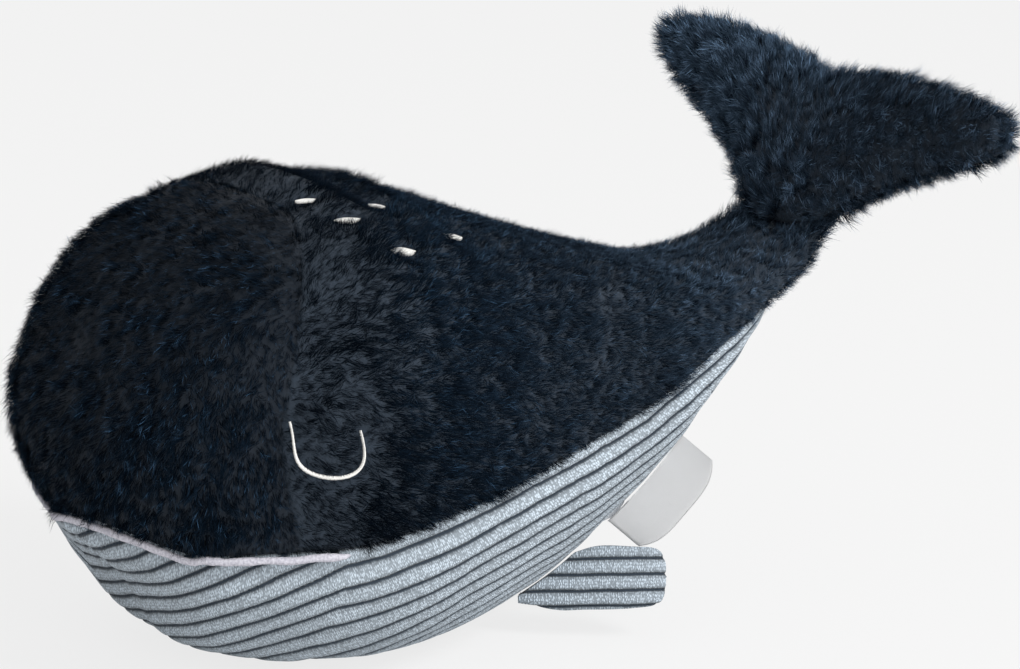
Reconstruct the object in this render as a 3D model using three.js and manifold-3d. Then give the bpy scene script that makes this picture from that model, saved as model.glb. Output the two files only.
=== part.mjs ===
import * as THREE from 'three';
import { mergeVertices } from 'three/addons/utils/BufferGeometryUtils.js';
import Module from 'manifold-3d';

const wasm = await Module();
wasm.setup();

// A stuffed whale with a warming pouch in its belly, in millimetres.
// It lies on its belly with its nose toward -Y, its left side toward +X and its tail curled up.

// Body form, out to the tips of the fur
const bodyLength = 272;
const headHeight = 141;
const headWidth = 146;
const noseY = -142;
const crownSquareness = 1;
const bellySquareness = 0.3;
const standDepth = 0.5;

// Cloth and fur
const tipOverhang = 2;
const plushThickness = 4;
const cordThickness = 2.6;
const clearance = 0.3;
const fillingGap = 1.6;
const seamGap = 0.7;
const sinkReach = 16;

// Seams, as stations along the body
const foreheadSeamTop = 3.75;
const foreheadSeamSide = 2.5;
const mouthCorner = 2.9;
const stuffingSplit = 5.6;

// Flukes
const flukeSpan = 180;
const flukeHeight = 68;
const flukeThickness = 24;
const flukeLean = 72;
const flukeLift = 13;
const flukeSetback = 0.5;

// Flippers
const flipperLength = 46;
const flipperWidth = 21;
const flipperThickness = 9;
const flipperCloth = 1.8;
const flipperRootHeight = 18.5;
const flipperRootShare = 0.568;

// Underside and its closure
const baseLength = 176;
const baseWidth = 57;
const baseFrontY = -98;
const flapEdgeShare = 0.489;
const closureOverlap = 16;
const tapeThickness = 1;
const tapeWidth = 40;
const underlapThickness = 1;
const closureRoom = 6;

// Warming pouch and the pocket that holds it
const pouchLength = 90;
const pouchWidth = 50;
const pouchThickness = 20;
const pouchSetback = 6;
const pouchBottomZ = 18;
const pouchCloth = 1;
const pocketCloth = 1;
const pocketPlay = 0.8;

// Stitched face and trim
const stitchHeight = 1.2;
const eyeStitchWidth = 3;
const spotDiameter = 9;
const pipingRadius = 1.3;
const labelLength = 36;
const labelReach = 15;
const labelThickness = 0.8;

const colours = {
  plush: 0x17202c, corduroy: 0xa9b8c8, piping: 0xc9c6d2, thread: 0xf2f1ec, label: 0xdcdcdd,
  filling: 0xf4f2ec, lining: 0xd9dde2, pouch: 0xe6e0d2, grain: 0xb89a63, tape: 0x2b3440,
};

const toy = new THREE.Group();

function addPiece(name, geometry, colour, roughness = 0.95) {
  const mesh = new THREE.Mesh(geometry, new THREE.MeshStandardMaterial({ color: colour, roughness, metalness: 0 }));
  mesh.name = name;
  toy.add(mesh);
}

// Triangles to a closed geometry with its faces outward and the slivers at a pole left out
function meshOf(points, triangles) {
  const corners = triangles.map((triangle) => triangle.map((index) => points[index]));
  const kept = triangles.filter((_, i) => {
    const [p, q, r] = corners[i];
    return Math.min(p.distanceTo(q), q.distanceTo(r), r.distanceTo(p)) > 1e-3;
  });
  const volume = corners.reduce((sum, [p, q, r]) => sum + p.dot(q.clone().cross(r)) / 6, 0);
  if (volume < 0) kept.forEach((triangle) => triangle.reverse());
  const geometry = new THREE.BufferGeometry();
  geometry.setAttribute('position', new THREE.Float32BufferAttribute(points.flatMap((p) => p.toArray()), 3));
  geometry.setIndex(kept.flat());
  return mergeVertices(geometry, 1e-3);
}

function toSolid(geometry) {
  let bare = geometry.clone();
  bare.deleteAttribute('normal');
  bare.deleteAttribute('uv');
  bare = mergeVertices(bare, 1e-3);
  return new wasm.Manifold(new wasm.Mesh({
    numProp: 3,
    vertProperties: Float32Array.from(bare.attributes.position.array),
    triVerts: Uint32Array.from(bare.index.array),
  }));
}

function toGeometry(solid) {
  const mesh = solid.getMesh();
  const geometry = new THREE.BufferGeometry();
  geometry.setAttribute('position', new THREE.Float32BufferAttribute(mesh.vertProperties, 3));
  geometry.setIndex(Array.from(mesh.triVerts));
  return geometry;
}

// Closed solid through rings of equal length, with flat caps where an end isn't a pole
function loft(rings) {
  const count = rings[0].length;
  const points = rings.flat();
  const triangles = [];
  for (let i = 0; i < rings.length - 1; i += 1) {
    for (let j = 0; j < count; j += 1) {
      const k = (j + 1) % count;
      triangles.push([i * count + j, (i + 1) * count + j, (i + 1) * count + k]);
      triangles.push([i * count + j, (i + 1) * count + k, i * count + k]);
    }
  }
  [rings[0], rings[rings.length - 1]].forEach((ring, end) => {
    const centre = ring.reduce((sum, p) => sum.add(p), new THREE.Vector3()).divideScalar(count);
    const first = end === 0 ? 0 : (rings.length - 1) * count;
    points.push(centre);
    for (let j = 0; j < count; j += 1) {
      const pair = [first + j, first + ((j + 1) % count)];
      triangles.push(end === 0 ? [points.length - 1, ...pair] : [points.length - 1, pair[1], pair[0]]);
    }
  });
  return meshOf(points, triangles);
}

// Closed sheet between an outer and an inner grid of the same size
function sheet(outer, inner) {
  const rows = outer.length;
  const columns = outer[0].length;
  const points = [...outer.flat(), ...inner.flat()];
  const triangles = [];
  const quad = (a, b, c, d) => triangles.push([a, b, c], [a, c, d]);
  const at = (layer, i, j) => layer * rows * columns + i * columns + j;
  for (let i = 0; i < rows - 1; i += 1) {
    for (let j = 0; j < columns - 1; j += 1) {
      quad(at(0, i, j), at(0, i, j + 1), at(0, i + 1, j + 1), at(0, i + 1, j));
      quad(at(1, i, j), at(1, i + 1, j), at(1, i + 1, j + 1), at(1, i, j + 1));
    }
    quad(at(0, i, 0), at(0, i + 1, 0), at(1, i + 1, 0), at(1, i, 0));
    quad(at(0, i + 1, columns - 1), at(0, i, columns - 1), at(1, i, columns - 1), at(1, i + 1, columns - 1));
  }
  for (let j = 0; j < columns - 1; j += 1) {
    quad(at(0, 0, j + 1), at(0, 0, j), at(1, 0, j), at(1, 0, j + 1));
    quad(at(0, rows - 1, j), at(0, rows - 1, j + 1), at(1, rows - 1, j + 1), at(1, rows - 1, j));
  }
  return meshOf(points, triangles);
}

// Upright block over an outline in plan
function prism(outline, low, high) {
  const shape = new THREE.Shape(outline.map((p) => new THREE.Vector2(p.x, p.y)));
  const geometry = new THREE.ExtrudeGeometry(shape, { depth: high - low, bevelEnabled: false });
  return toSolid(geometry.translate(0, 0, low));
}

function block(low, high) {
  const size = high.clone().sub(low);
  const geometry = new THREE.BoxGeometry(size.x, size.y, size.z);
  return toSolid(geometry.translate(...low.clone().add(high).multiplyScalar(0.5).toArray()));
}

// Swelling form between an upper and a lower line that lie in one plane, bulging to both sides of it.
// Angle 0 is the upper line and a quarter turn is the middle of the bulge on the frame's third axis.
class SoftForm {
  constructor(upper, lower, bulge, frame, squareness) {
    const spline = (points) => new THREE.SplineCurve(points.map(([a, b]) => new THREE.Vector2(a, b)));
    this.upper = spline(upper);
    this.lower = spline(lower);
    this.bulge = spline(bulge.map((value, i) => [i, value]));
    this.frame = frame;
    this.hand = Math.sign(frame.determinant());
    this.squareness = squareness;
    this.stations = upper.length - 1;
  }

  // Point in the form's own axes
  local(u, angle) {
    const top = this.upper.getPoint(u / this.stations);
    const bottom = this.lower.getPoint(u / this.stations);
    const side = Math.max(this.bulge.getPoint(u / this.stations).y, 0);
    const c = Math.cos(angle);
    const s = Math.sin(angle);
    const power = 2 + this.squareness(u, c);
    const reach = (Math.abs(c) ** power + Math.abs(s) ** power) ** (-1 / power);
    const along = (top.x + bottom.x) / 2 + (reach * c * (top.x - bottom.x)) / 2;
    const up = (top.y + bottom.y) / 2 + (reach * c * (top.y - bottom.y)) / 2;
    return new THREE.Vector3(along, up, reach * s * side);
  }

  point(u, angle) {
    return this.local(u, angle).applyMatrix4(this.frame);
  }

  normal(u, angle) {
    const step = 0.02;
    const v = THREE.MathUtils.clamp(u, 0.1, this.stations - step);
    const along = this.point(v + step, angle).sub(this.point(v - step, angle));
    const round = this.point(v, angle + step).sub(this.point(v, angle - step));
    return round.cross(along).normalize().multiplyScalar(this.hand);
  }

  skin(u, angle, depth) {
    return this.point(u, angle).addScaledVector(this.normal(u, angle), -depth);
  }

  // Half of the form on one side of its middle plane, its edges a little clear of the plane
  half(side, rows, columns) {
    return Array.from({ length: rows + 1 }, (_, i) => (
      Array.from({ length: columns + 1 }, (_unused, j) => {
        const p = this.local((this.stations * i) / rows, (side * Math.PI * j) / columns);
        p.z = side * Math.max(Math.abs(p.z), clearance / 2);
        return p.applyMatrix4(this.frame);
      })
    ));
  }

  // Ring of points at a depth under the form
  ring(u, count, depthAt) {
    return Array.from({ length: count }, (_, j) => {
      const angle = (2 * Math.PI * j) / count;
      return this.skin(u, angle, depthAt(u, angle));
    });
  }
}

// Body: upper line over the crown and lower line under the belly, from the middle of the mouth to the tail
const alongBody = (share) => noseY + share * bodyLength;
const bodyFrame = new THREE.Matrix4().makeBasis(
  new THREE.Vector3(0, 1, 0), new THREE.Vector3(0, 0, 1), new THREE.Vector3(1, 0, 0));
const bodyLine = (shares) => shares.map(([a, b]) => [alongBody(a), b * headHeight]);
const body = new SoftForm(
  bodyLine([[0, 0.355], [-0.007, 0.567], [0.055, 0.794], [0.147, 0.936], [0.272, 1],
    [0.426, 0.95], [0.61, 0.837], [0.787, 0.75], [0.902, 0.8]]),
  bodyLine([[0, 0.355], [0.077, 0.213], [0.136, 0.064], [0.28, 0.002], [0.475, 0.014],
    [0.7, 0.225], [0.846, 0.511], [0.93, 0.681], [1, 0.837]]),
  [0, 0.52, 0.795, 1, 0.973, 0.71, 0.52, 0.39, 0.29].map((share) => (share * headWidth) / 2),
  bodyFrame,
  (u, c) => {
    const head = THREE.MathUtils.smoothstep(u, 0, 2);
    if (c > 0) return crownSquareness * head * (1 - THREE.MathUtils.smoothstep(u, 4.8, 6.8));
    return bellySquareness * head * (1 - THREE.MathUtils.smoothstep(u, 3, 4));
  },
);

// Seam between fur and corduroy, as an angle down from the crown at each station
const sideSeam = new THREE.SplineCurve(
  [90, 105, 103, 103, 100, 107, 123, 148, 168].map((value, i) => new THREE.Vector2(i, value)));
const seamAngle = (u) => THREE.MathUtils.degToRad(sideSeam.getPoint(u / body.stations).y);
const seamReach = (u) => body.point(u, seamAngle(u)).distanceTo(
  body.point(u, 0).add(body.point(u, Math.PI)).multiplyScalar(0.5));
const gapAngle = (u) => Math.min(seamGap / Math.max(seamReach(u), 1), 0.15);

// Everything lies nearer the surface where the tail is slim
const slim = (u) => 1 - 0.3 * THREE.MathUtils.smoothstep(u, 6.6, body.stations);

// Depths under the form: the corduroy starts low beside the fur and comes flush under the belly
const plushDepth = tipOverhang + plushThickness;
const fold = (angle) => Math.abs(Math.atan2(Math.sin(angle), Math.cos(angle)));
const cordSink = (u, angle) => (plushDepth * slim(u) - cordThickness)
  * (1 - THREE.MathUtils.smoothstep((fold(angle) - seamAngle(u)) * seamReach(u), 0, sinkReach));
const coverDepth = (u, angle) => (
  fold(angle) < seamAngle(u) ? plushDepth * slim(u) : cordSink(u, angle) + cordThickness);
const stuffingDepth = (u, angle) => coverDepth(u, angle) + fillingGap * slim(u);

// Station of the seam that joins the forehead to the back: across the crown, forward and down to the eye
const foreheadSeam = (share) => foreheadSeamTop
  - (foreheadSeamTop - foreheadSeamSide) * THREE.MathUtils.smoothstep(Math.abs(share), 0.1, 0.75);

// Flat end of the tail, where the flukes are sewn across it
const farReach = 400;
const tailTop = body.point(body.stations, 0);
const tailBottom = body.point(body.stations, Math.PI);
const tailEnd = tailTop.clone().add(tailBottom).multiplyScalar(0.5);
const endAlong = tailBottom.clone().sub(tailTop).normalize();
const endOut = new THREE.Vector3(1, 0, 0).cross(endAlong).normalize();
const endFrame = new THREE.Matrix4().makeBasis(new THREE.Vector3(1, 0, 0), endAlong, endOut).setPosition(tailEnd);
const beyondTailEnd = toSolid(new THREE.BoxGeometry(farReach, farReach, farReach)
  .translate(0, 0, farReach / 2).applyMatrix4(endFrame));
const endHalf = tailTop.distanceTo(tailBottom) / 2;
function trimTail(geometry, below) {
  const box = new THREE.BoxGeometry(farReach, 3 * endHalf, 2 * endHalf);
  box.translate(0, 0.9 * endHalf - below, endHalf - below).applyMatrix4(endFrame);
  return toGeometry(toSolid(geometry).subtract(toSolid(box)));
}

function plushPanel(fromStation, toStation, rows, columns) {
  const grid = (depth) => Array.from({ length: rows + 1 }, (_, i) => (
    Array.from({ length: columns + 1 }, (_unused, j) => {
      const share = (2 * j) / columns - 1;
      const u = THREE.MathUtils.lerp(fromStation(share), toStation(share), i / rows);
      return body.skin(u, share * seamAngle(u), depth * slim(u));
    })
  ));
  return sheet(grid(tipOverhang), grid(plushDepth));
}

function addFur() {
  const halfGap = seamGap / (2 * (bodyLength / body.stations));
  addPiece('forehead_plush', plushPanel(() => 0, (v) => foreheadSeam(v) - halfGap, 9, 14), colours.plush);
  const back = plushPanel((v) => foreheadSeam(v) + halfGap, () => body.stations, 14, 16);
  addPiece('back_plush', trimTail(back, clearance), colours.plush);
}

// Underside outline in plan, sewn round by the base seam
const baseY = (share) => baseFrontY + share * baseLength;
const baseHalf = [[0, 0], [0.015, 0.4], [0.08, 0.82], [0.2, 0.96], [0.4, 1], [0.57, 1], [0.72, 1], [0.85, 0.95],
  [0.94, 0.66], [1, 0.22]];
function baseOutline(inset) {
  const side = new THREE.SplineCurve(baseHalf.map(([a, b]) => new THREE.Vector2((b * baseWidth) / 2, baseY(a))));
  const points = side.getPoints(16).map((p) => new THREE.Vector2(Math.max(p.x - inset, 0), p.y));
  points[0].y += inset;
  points[points.length - 1].y -= inset;
  const mirrored = points.slice(1).map((p) => new THREE.Vector2(-p.x, p.y)).reverse();
  return [...points, ...mirrored];
}
const flapEdgeY = baseY(flapEdgeShare);

function bellyShell(extraDepth, thickness) {
  const rows = 18;
  const columns = 14;
  const grid = (outer) => Array.from({ length: rows + 1 }, (_, i) => {
    const u = i === 0 && !outer ? 0.35 : THREE.MathUtils.lerp(0.16, body.stations, i / rows);
    const edge = seamAngle(u) + gapAngle(u);
    return Array.from({ length: columns + 1 }, (_unused, j) => {
      const angle = THREE.MathUtils.lerp(edge, 2 * Math.PI - edge, j / columns);
      const depth = cordSink(u, angle) + extraDepth + (outer ? 0 : thickness);
      return body.skin(u, angle, depth);
    });
  });
  return toSolid(sheet(grid(true), grid(false)));
}

const frontOf = (y) => block(new THREE.Vector3(-farReach, -farReach, -farReach), new THREE.Vector3(farReach, y, farReach));
const behind = (y) => block(new THREE.Vector3(-farReach, y, -farReach), new THREE.Vector3(farReach, farReach, farReach));
const above = (z) => block(new THREE.Vector3(-farReach, -farReach, z), new THREE.Vector3(farReach, farReach, farReach));

// Closure: the flap's front edge carries the hook tape over the loop tape on the underlap
const hookDepth = cordThickness + clearance;
const loopDepth = hookDepth + tapeThickness + clearance;
const underlapDepth = loopDepth + tapeThickness + clearance;
const closureDepth = underlapDepth + underlapThickness + fillingGap;

function strip(depth, thickness, frontY, backY, width) {
  const half = width / 2;
  const layer = bellyShell(depth, thickness);
  const window = block(new THREE.Vector3(-half, frontY, -farReach), new THREE.Vector3(half, backY, farReach / 8));
  return layer.intersect(window);
}

function addBelly() {
  const shell = bellyShell(0, cordThickness);
  const sides = shell.subtract(prism(baseOutline(0), -farReach, farReach / 4));
  const base = shell.intersect(prism(baseOutline(seamGap), -farReach, farReach / 4));
  addPiece('chin_side_panel', trimTail(toGeometry(sides), clearance), colours.corduroy);
  const front = base.intersect(frontOf(flapEdgeY - seamGap)).intersect(above(standDepth));
  addPiece('base_panel', toGeometry(front), colours.corduroy);
  addPiece('pocket_flap', toGeometry(base.intersect(behind(flapEdgeY))), colours.corduroy);
  const inset = 2;
  const backY = flapEdgeY + closureOverlap;
  addPiece('hook_tape', toGeometry(strip(hookDepth, tapeThickness, flapEdgeY + inset, backY - inset, tapeWidth)),
    colours.tape);
  addPiece('loop_tape', toGeometry(strip(loopDepth, tapeThickness, flapEdgeY + inset, backY - inset, tapeWidth)),
    colours.tape);
  addPiece('closure_underlap',
    toGeometry(strip(underlapDepth, underlapThickness, flapEdgeY - inset, backY, tapeWidth + 4 * inset)),
    colours.lining);
}

// Pouch: a rounded pillow that slides out toward the tail through the pocket's mouth
const pouchFrontY = baseFrontY + pouchSetback;
const pouchMiddleZ = pouchBottomZ + pouchThickness / 2;
const pouchBackY = pouchFrontY + pouchLength;
function pillow(shrink, side, rows = 8, columns = 8) {
  const halfLength = pouchLength / 2 - shrink;
  const halfWidth = pouchWidth / 2 - shrink;
  const halfHeight = pouchThickness / 2 - shrink;
  const middle = (pouchFrontY + pouchBackY) / 2;
  const spread = (k, count) => Math.sin((Math.PI / 2) * ((2 * k) / count - 1));
  return Array.from({ length: rows + 1 }, (_, i) => (
    Array.from({ length: columns + 1 }, (_unused, j) => {
      const a = spread(i, rows);
      const b = spread(j, columns);
      const swell = Math.sqrt(Math.max((1 - Math.abs(a) ** 3) * (1 - Math.abs(b) ** 3), 0));
      const round = 1 - 0.06 * a * a * b * b;
      return new THREE.Vector3(b * halfWidth * round, middle + a * halfLength * round,
        pouchMiddleZ + side * (clearance / 2 + (halfHeight - clearance / 2) * swell));
    })
  ));
}

function addPouch() {
  const inside = pouchCloth + clearance;
  addPiece('pouch_cover_upper', sheet(pillow(0, 1), pillow(pouchCloth, 1)), colours.pouch);
  addPiece('pouch_cover_lower', sheet(pillow(0, -1), pillow(pouchCloth, -1)), colours.pouch);
  addPiece('grain_filling', sheet(pillow(inside, 1), pillow(inside, -1)), colours.grain);
}

// Pocket channel: the pouch's cross-section drawn out toward the tail, closed in front
function channel(grow, frontY, backY) {
  const halfWidth = pouchWidth / 2 + grow;
  const halfHeight = pouchThickness / 2 + grow;
  const count = 20;
  const ringAt = (y, scale) => Array.from({ length: count }, (_, j) => {
    const angle = (2 * Math.PI * j) / count;
    const c = Math.cos(angle);
    const s = Math.sin(angle);
    const reach = (Math.abs(c) ** 4 + Math.abs(s) ** 4) ** -0.25;
    return new THREE.Vector3(scale * reach * s * halfWidth, y, pouchMiddleZ + scale * reach * c * halfHeight);
  });
  return toSolid(loft([ringAt(frontY, 0.9), ringAt(frontY + halfHeight / 2, 1), ringAt(backY, 1)]));
}

function bodySolid(fromStation, toStation, rows, columns, depthAt) {
  const rings = Array.from({ length: rows + 1 }, (_, i) => (
    body.ring(THREE.MathUtils.lerp(fromStation, toStation, i / rows), columns, depthAt)));
  return loft(rings);
}

// Everything inside the finished skin and a little more, to trim what is sewn on from outside
const skinEnvelope = toSolid(bodySolid(0.1, body.stations, 32, 48,
  (u, angle) => (fold(angle) < seamAngle(u) ? tipOverhang : cordSink(u, angle)) - 2 * clearance));


function addInside() {
  const outerGrow = pocketPlay + pocketCloth;
  const whole = toSolid(bodySolid(0.4, stuffingSplit, 12, 20, stuffingDepth));
  const hollow = channel(outerGrow + clearance, pouchFrontY - outerGrow - clearance, farReach / 2);
  const mouthHalf = pouchWidth / 2 + outerGrow + clearance;
  const recess = bellyShell(0, closureDepth).intersect(
    block(new THREE.Vector3(-tapeWidth / 2 - closureRoom, flapEdgeY - closureRoom, -farReach),
      new THREE.Vector3(tapeWidth / 2 + closureRoom, flapEdgeY + closureOverlap + 1, farReach / 8)));
  const mouth = block(new THREE.Vector3(-mouthHalf, flapEdgeY + closureOverlap, -farReach),
    new THREE.Vector3(mouthHalf, farReach, pouchMiddleZ));
  addPiece('body_stuffing', toGeometry(whole.subtract(hollow).subtract(recess).subtract(mouth)), colours.filling);
  const sleeve = channel(outerGrow, pouchFrontY - outerGrow, farReach / 2)
    .subtract(channel(pocketPlay, pouchFrontY - pocketPlay, farReach))
    .intersect(whole)
    .subtract(recess)
    .subtract(mouth);
  addPiece('pocket_lining', toGeometry(sleeve), colours.lining);
  const splitGap = clearance / (bodyLength / body.stations);
  const tail = bodySolid(stuffingSplit + splitGap, body.stations - 1.1, 9, 16, stuffingDepth);
  addPiece('tail_stuffing', trimTail(tail, plushDepth + 2 * fillingGap), colours.filling);
}

// Cushion between two lines in a plane, drawn in on every side where it lies under another
function cushion(upper, lower, bulge, frame, shrink) {
  const reach = Math.max(...upper.map(([a]) => Math.abs(a)));
  const shorter = 1 - shrink / reach;
  return new SoftForm(
    upper.map(([a, b], i) => [a * shorter, Math.max(b - shrink, (b + lower[i][1]) / 2)]),
    lower.map(([a, b], i) => [a * shorter, Math.min(b + shrink, (b + upper[i][1]) / 2)]),
    bulge.map((value) => Math.max(value - shrink, 0)),
    frame,
    () => 0.3,
  );
}

// Flukes: one swept cushion across the tail, standing up from the end of the body
const lean = THREE.MathUtils.degToRad(flukeLean);
const flukeUp = new THREE.Vector3(0, Math.cos(lean), Math.sin(lean));
const flukeFrame = new THREE.Matrix4().makeBasis(
  new THREE.Vector3(1, 0, 0), flukeUp, new THREE.Vector3(0, -Math.sin(lean), Math.cos(lean)));
flukeFrame.setPosition(tailEnd.clone().addScaledVector(flukeUp, flukeLift).setY(tailEnd.y + flukeSetback
  + flukeUp.y * flukeLift));
const bothWays = (half, flip) => [...half.slice(1).map(flip).reverse(), ...half];
const flukeLine = (shares) => bothWays(
  shares.map(([a, b]) => [(a * flukeSpan) / 2, b * flukeHeight]), ([a, b]) => [-a, b]);
const flukeUpper = flukeLine([[0, 0.485], [0.1, 0.53], [0.22, 0.566], [0.44, 0.588], [0.67, 0.588], [0.87, 0.56],
  [0.96, 0.51], [1, 0.44]]);
const flukeLower = flukeLine([[0, -0.42], [0.15, -0.39], [0.27, -0.23], [0.42, -0.08], [0.67, 0.085], [0.89, 0.22],
  [0.985, 0.32], [1, 0.44]]);
const flukeBulge = bothWays(
  [1.42, 1.36, 1.2, 1, 0.86, 0.78, 0.6, 0].map((share) => (share * flukeThickness) / 2), (value) => value);
const fluke = (depth) => cushion(flukeUpper, flukeLower, flukeBulge, flukeFrame, depth);

function addFlukes() {
  const [outer, inner] = [fluke(tipOverhang), fluke(plushDepth)];
  const cover = (side) => toSolid(sheet(outer.half(side, 18, 6), inner.half(side, 18, 6)));
  addPiece('fluke_front_plush', toGeometry(cover(1).intersect(beyondTailEnd)), colours.plush);
  addPiece('fluke_rear_plush', toGeometry(cover(-1).intersect(beyondTailEnd)), colours.plush);
  const filling = fluke(plushDepth + fillingGap);
  const rings = Array.from({ length: 15 }, (_, i) => (
    filling.ring(THREE.MathUtils.lerp(0.2, filling.stations - 0.2, i / 14), 10, () => 0)));
  addPiece('fluke_stuffing', toGeometry(toSolid(loft(rings)).intersect(beyondTailEnd)), colours.filling);
}

// Room under the base for its flap to swing in
const besideBase = prism(baseOutline(-clearance), -farReach, farReach / 4);

// Flippers: small corduroy paddles sewn into the base seam, swept back and hanging from their upper edge
function addFlipper(side, name) {
  const ahead = new THREE.Vector3(0.55 * side, 0.83, 0.05).normalize();
  const upward = new THREE.Vector3(-0.24 * side, 0.11, 0.96);
  upward.addScaledVector(ahead, -upward.dot(ahead)).normalize();
  const outward = ahead.clone().cross(upward).multiplyScalar(side);
  const frame = new THREE.Matrix4().makeBasis(ahead, upward, outward);
  frame.setPosition(side * (baseWidth / 2 - flipperCloth - 0.7), baseY(flipperRootShare), flipperRootHeight);
  const line = (shares) => shares.map(([a, b]) => [a * flipperLength, b * flipperWidth]);
  const upper = line([[0, 0.1], [0.25, 0.3], [0.5, 0.46], [0.75, 0.46], [0.94, 0.38], [1, -0.02]]);
  const lower = line([[0, -0.4], [0.25, -0.5], [0.5, -0.52], [0.75, -0.5], [0.94, -0.42], [1, -0.02]]);
  const bulge = [0.7, 0.9, 1, 0.95, 0.7, 0].map((share) => (share * flipperThickness) / 2);
  const form = (depth) => cushion(upper, lower, bulge, frame, depth);
  const trim = (geometry) => toGeometry(toSolid(geometry).subtract(skinEnvelope).subtract(besideBase));
  const cover = (face) => trim(sheet(form(0).half(face, 8, 6), form(flipperCloth).half(face, 8, 6)));
  addPiece(`${name}_outer_cover`, cover(1), colours.corduroy);
  addPiece(`${name}_inner_cover`, cover(-1), colours.corduroy);
  const filling = form(flipperCloth + clearance);
  const rings = Array.from({ length: 8 }, (_, i) => (
    filling.ring(THREE.MathUtils.lerp(0.1, filling.stations - 0.3, i / 7), 10, () => 0)));
  addPiece(`${name}_batting`, trim(loft(rings)), colours.filling);
}

// Raised satin stitching laid along points on the fur, thin at its ends
function stitchLine(path, width) {
  const count = path.length;
  const rings = path.map(([u, angle], i) => {
    const here = body.skin(u, angle, tipOverhang - clearance);
    const [u0, a0] = path[Math.max(i - 1, 0)];
    const [u1, a1] = path[Math.min(i + 1, count - 1)];
    const up = body.normal(u, angle);
    const along = body.point(u1, a1).sub(body.point(u0, a0)).normalize();
    const across = along.clone().cross(up).normalize();
    const taper = 0.35 + 0.65 * Math.sin((Math.PI * i) / (count - 1));
    return Array.from({ length: 8 }, (_, j) => {
      const turn = (2 * Math.PI * j) / 8;
      return here.clone()
        .addScaledVector(across, (Math.cos(turn) * width * taper) / 2)
        .addScaledVector(up, ((1 + Math.sin(turn)) * stitchHeight * taper) / 2);
    });
  });
  return loft(rings);
}

// Closed eye: a U of satin stitch, its ends in two small dents
function addEye(side, name) {
  const middle = [2.92, 70.5];
  const halfWidth = 0.27;
  const rise = 3.5;
  const drop = 12;
  const path = Array.from({ length: 13 }, (_, i) => {
    const t = -1 + i / 6;
    const turn = Math.sin((Math.PI / 2) * t);
    const u = middle[0] + halfWidth * turn - 0.1 * (1 - t * t);
    const angle = middle[1] + rise * turn + drop * Math.sqrt(1 - t * t);
    return [u, THREE.MathUtils.degToRad(angle) * side];
  });
  addPiece(name, stitchLine(path, eyeStitchWidth), colours.thread, 0.6);
}

// Five embroidered spots scattered behind the forehead seam
function addSpots() {
  const places = [[3.93, 16], [3.98, 28], [4.48, 21], [4.18, 40], [4.79, 38]];
  places.forEach(([u, degrees], i) => {
    const angle = THREE.MathUtils.degToRad(degrees);
    const up = body.normal(u, angle);
    const foot = body.skin(u, angle, tipOverhang - clearance);
    const turn = new THREE.Quaternion().setFromUnitVectors(new THREE.Vector3(0, 0, 1), up);
    const profile = [[0, 0], [1, 0], [0.9, 0.55], [0.5, 0.95], [0, 1]]
      .map(([r, h]) => new THREE.Vector2((r * spotDiameter) / 2, h * stitchHeight));
    const spot = new THREE.LatheGeometry(profile, 12).rotateX(Math.PI / 2);
    const lift = spotDiameter * spotDiameter * 0.0022;
    spot.applyQuaternion(turn).translate(...foot.addScaledVector(up, lift).toArray());
    addPiece(`spot_${i + 1}`, spot, colours.thread, 0.6);
  });
}

// Mouth piping: a soft cord from one corner of the mouth round the snout to the other
function addPiping() {
  const count = 32;
  const section = Array.from({ length: 6 }, (_, j) => (2 * Math.PI * j) / 6);
  const beside = pipingRadius + clearance + seamGap;
  const bed = (plushDepth - cordThickness) * (1 - THREE.MathUtils.smoothstep(beside + pipingRadius, 0, sinkReach));
  const depth = bed - 2.4 * clearance - pipingRadius;
  const firstStep = 0.5 * (beside + bed + 2 * clearance)
    / body.point(0.5, seamAngle(0.5)).distanceTo(body.point(0, 0));
  const place = (share) => {
    const along = mouthCorner * Math.abs(share);
    const u = Math.hypot(along, firstStep);
    const angle = seamAngle(u) + Math.atan2(beside, seamReach(along));
    return [u, share < 0 ? -angle : angle];
  };
  const rings = Array.from({ length: count + 1 }, (_, i) => {
    const share = 1 - (2 * i) / count;
    const [u, angle] = place(share);
    const here = body.skin(u, angle, depth);
    const before = body.skin(...place(Math.min(share + 0.02, 1)), depth);
    const after = body.skin(...place(Math.max(share - 0.02, -1)), depth);
    const along = after.sub(before).normalize();
    const up = body.normal(u, angle);
    const across = along.clone().cross(up).normalize();
    const upright = across.clone().cross(along).normalize();
    return section.map((turn) => here.clone()
      .addScaledVector(across, Math.cos(turn) * pipingRadius)
      .addScaledVector(upright, Math.sin(turn) * pipingRadius));
  });
  addPiece('mouth_piping', loft(rings), colours.piping, 0.8);
}

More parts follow.
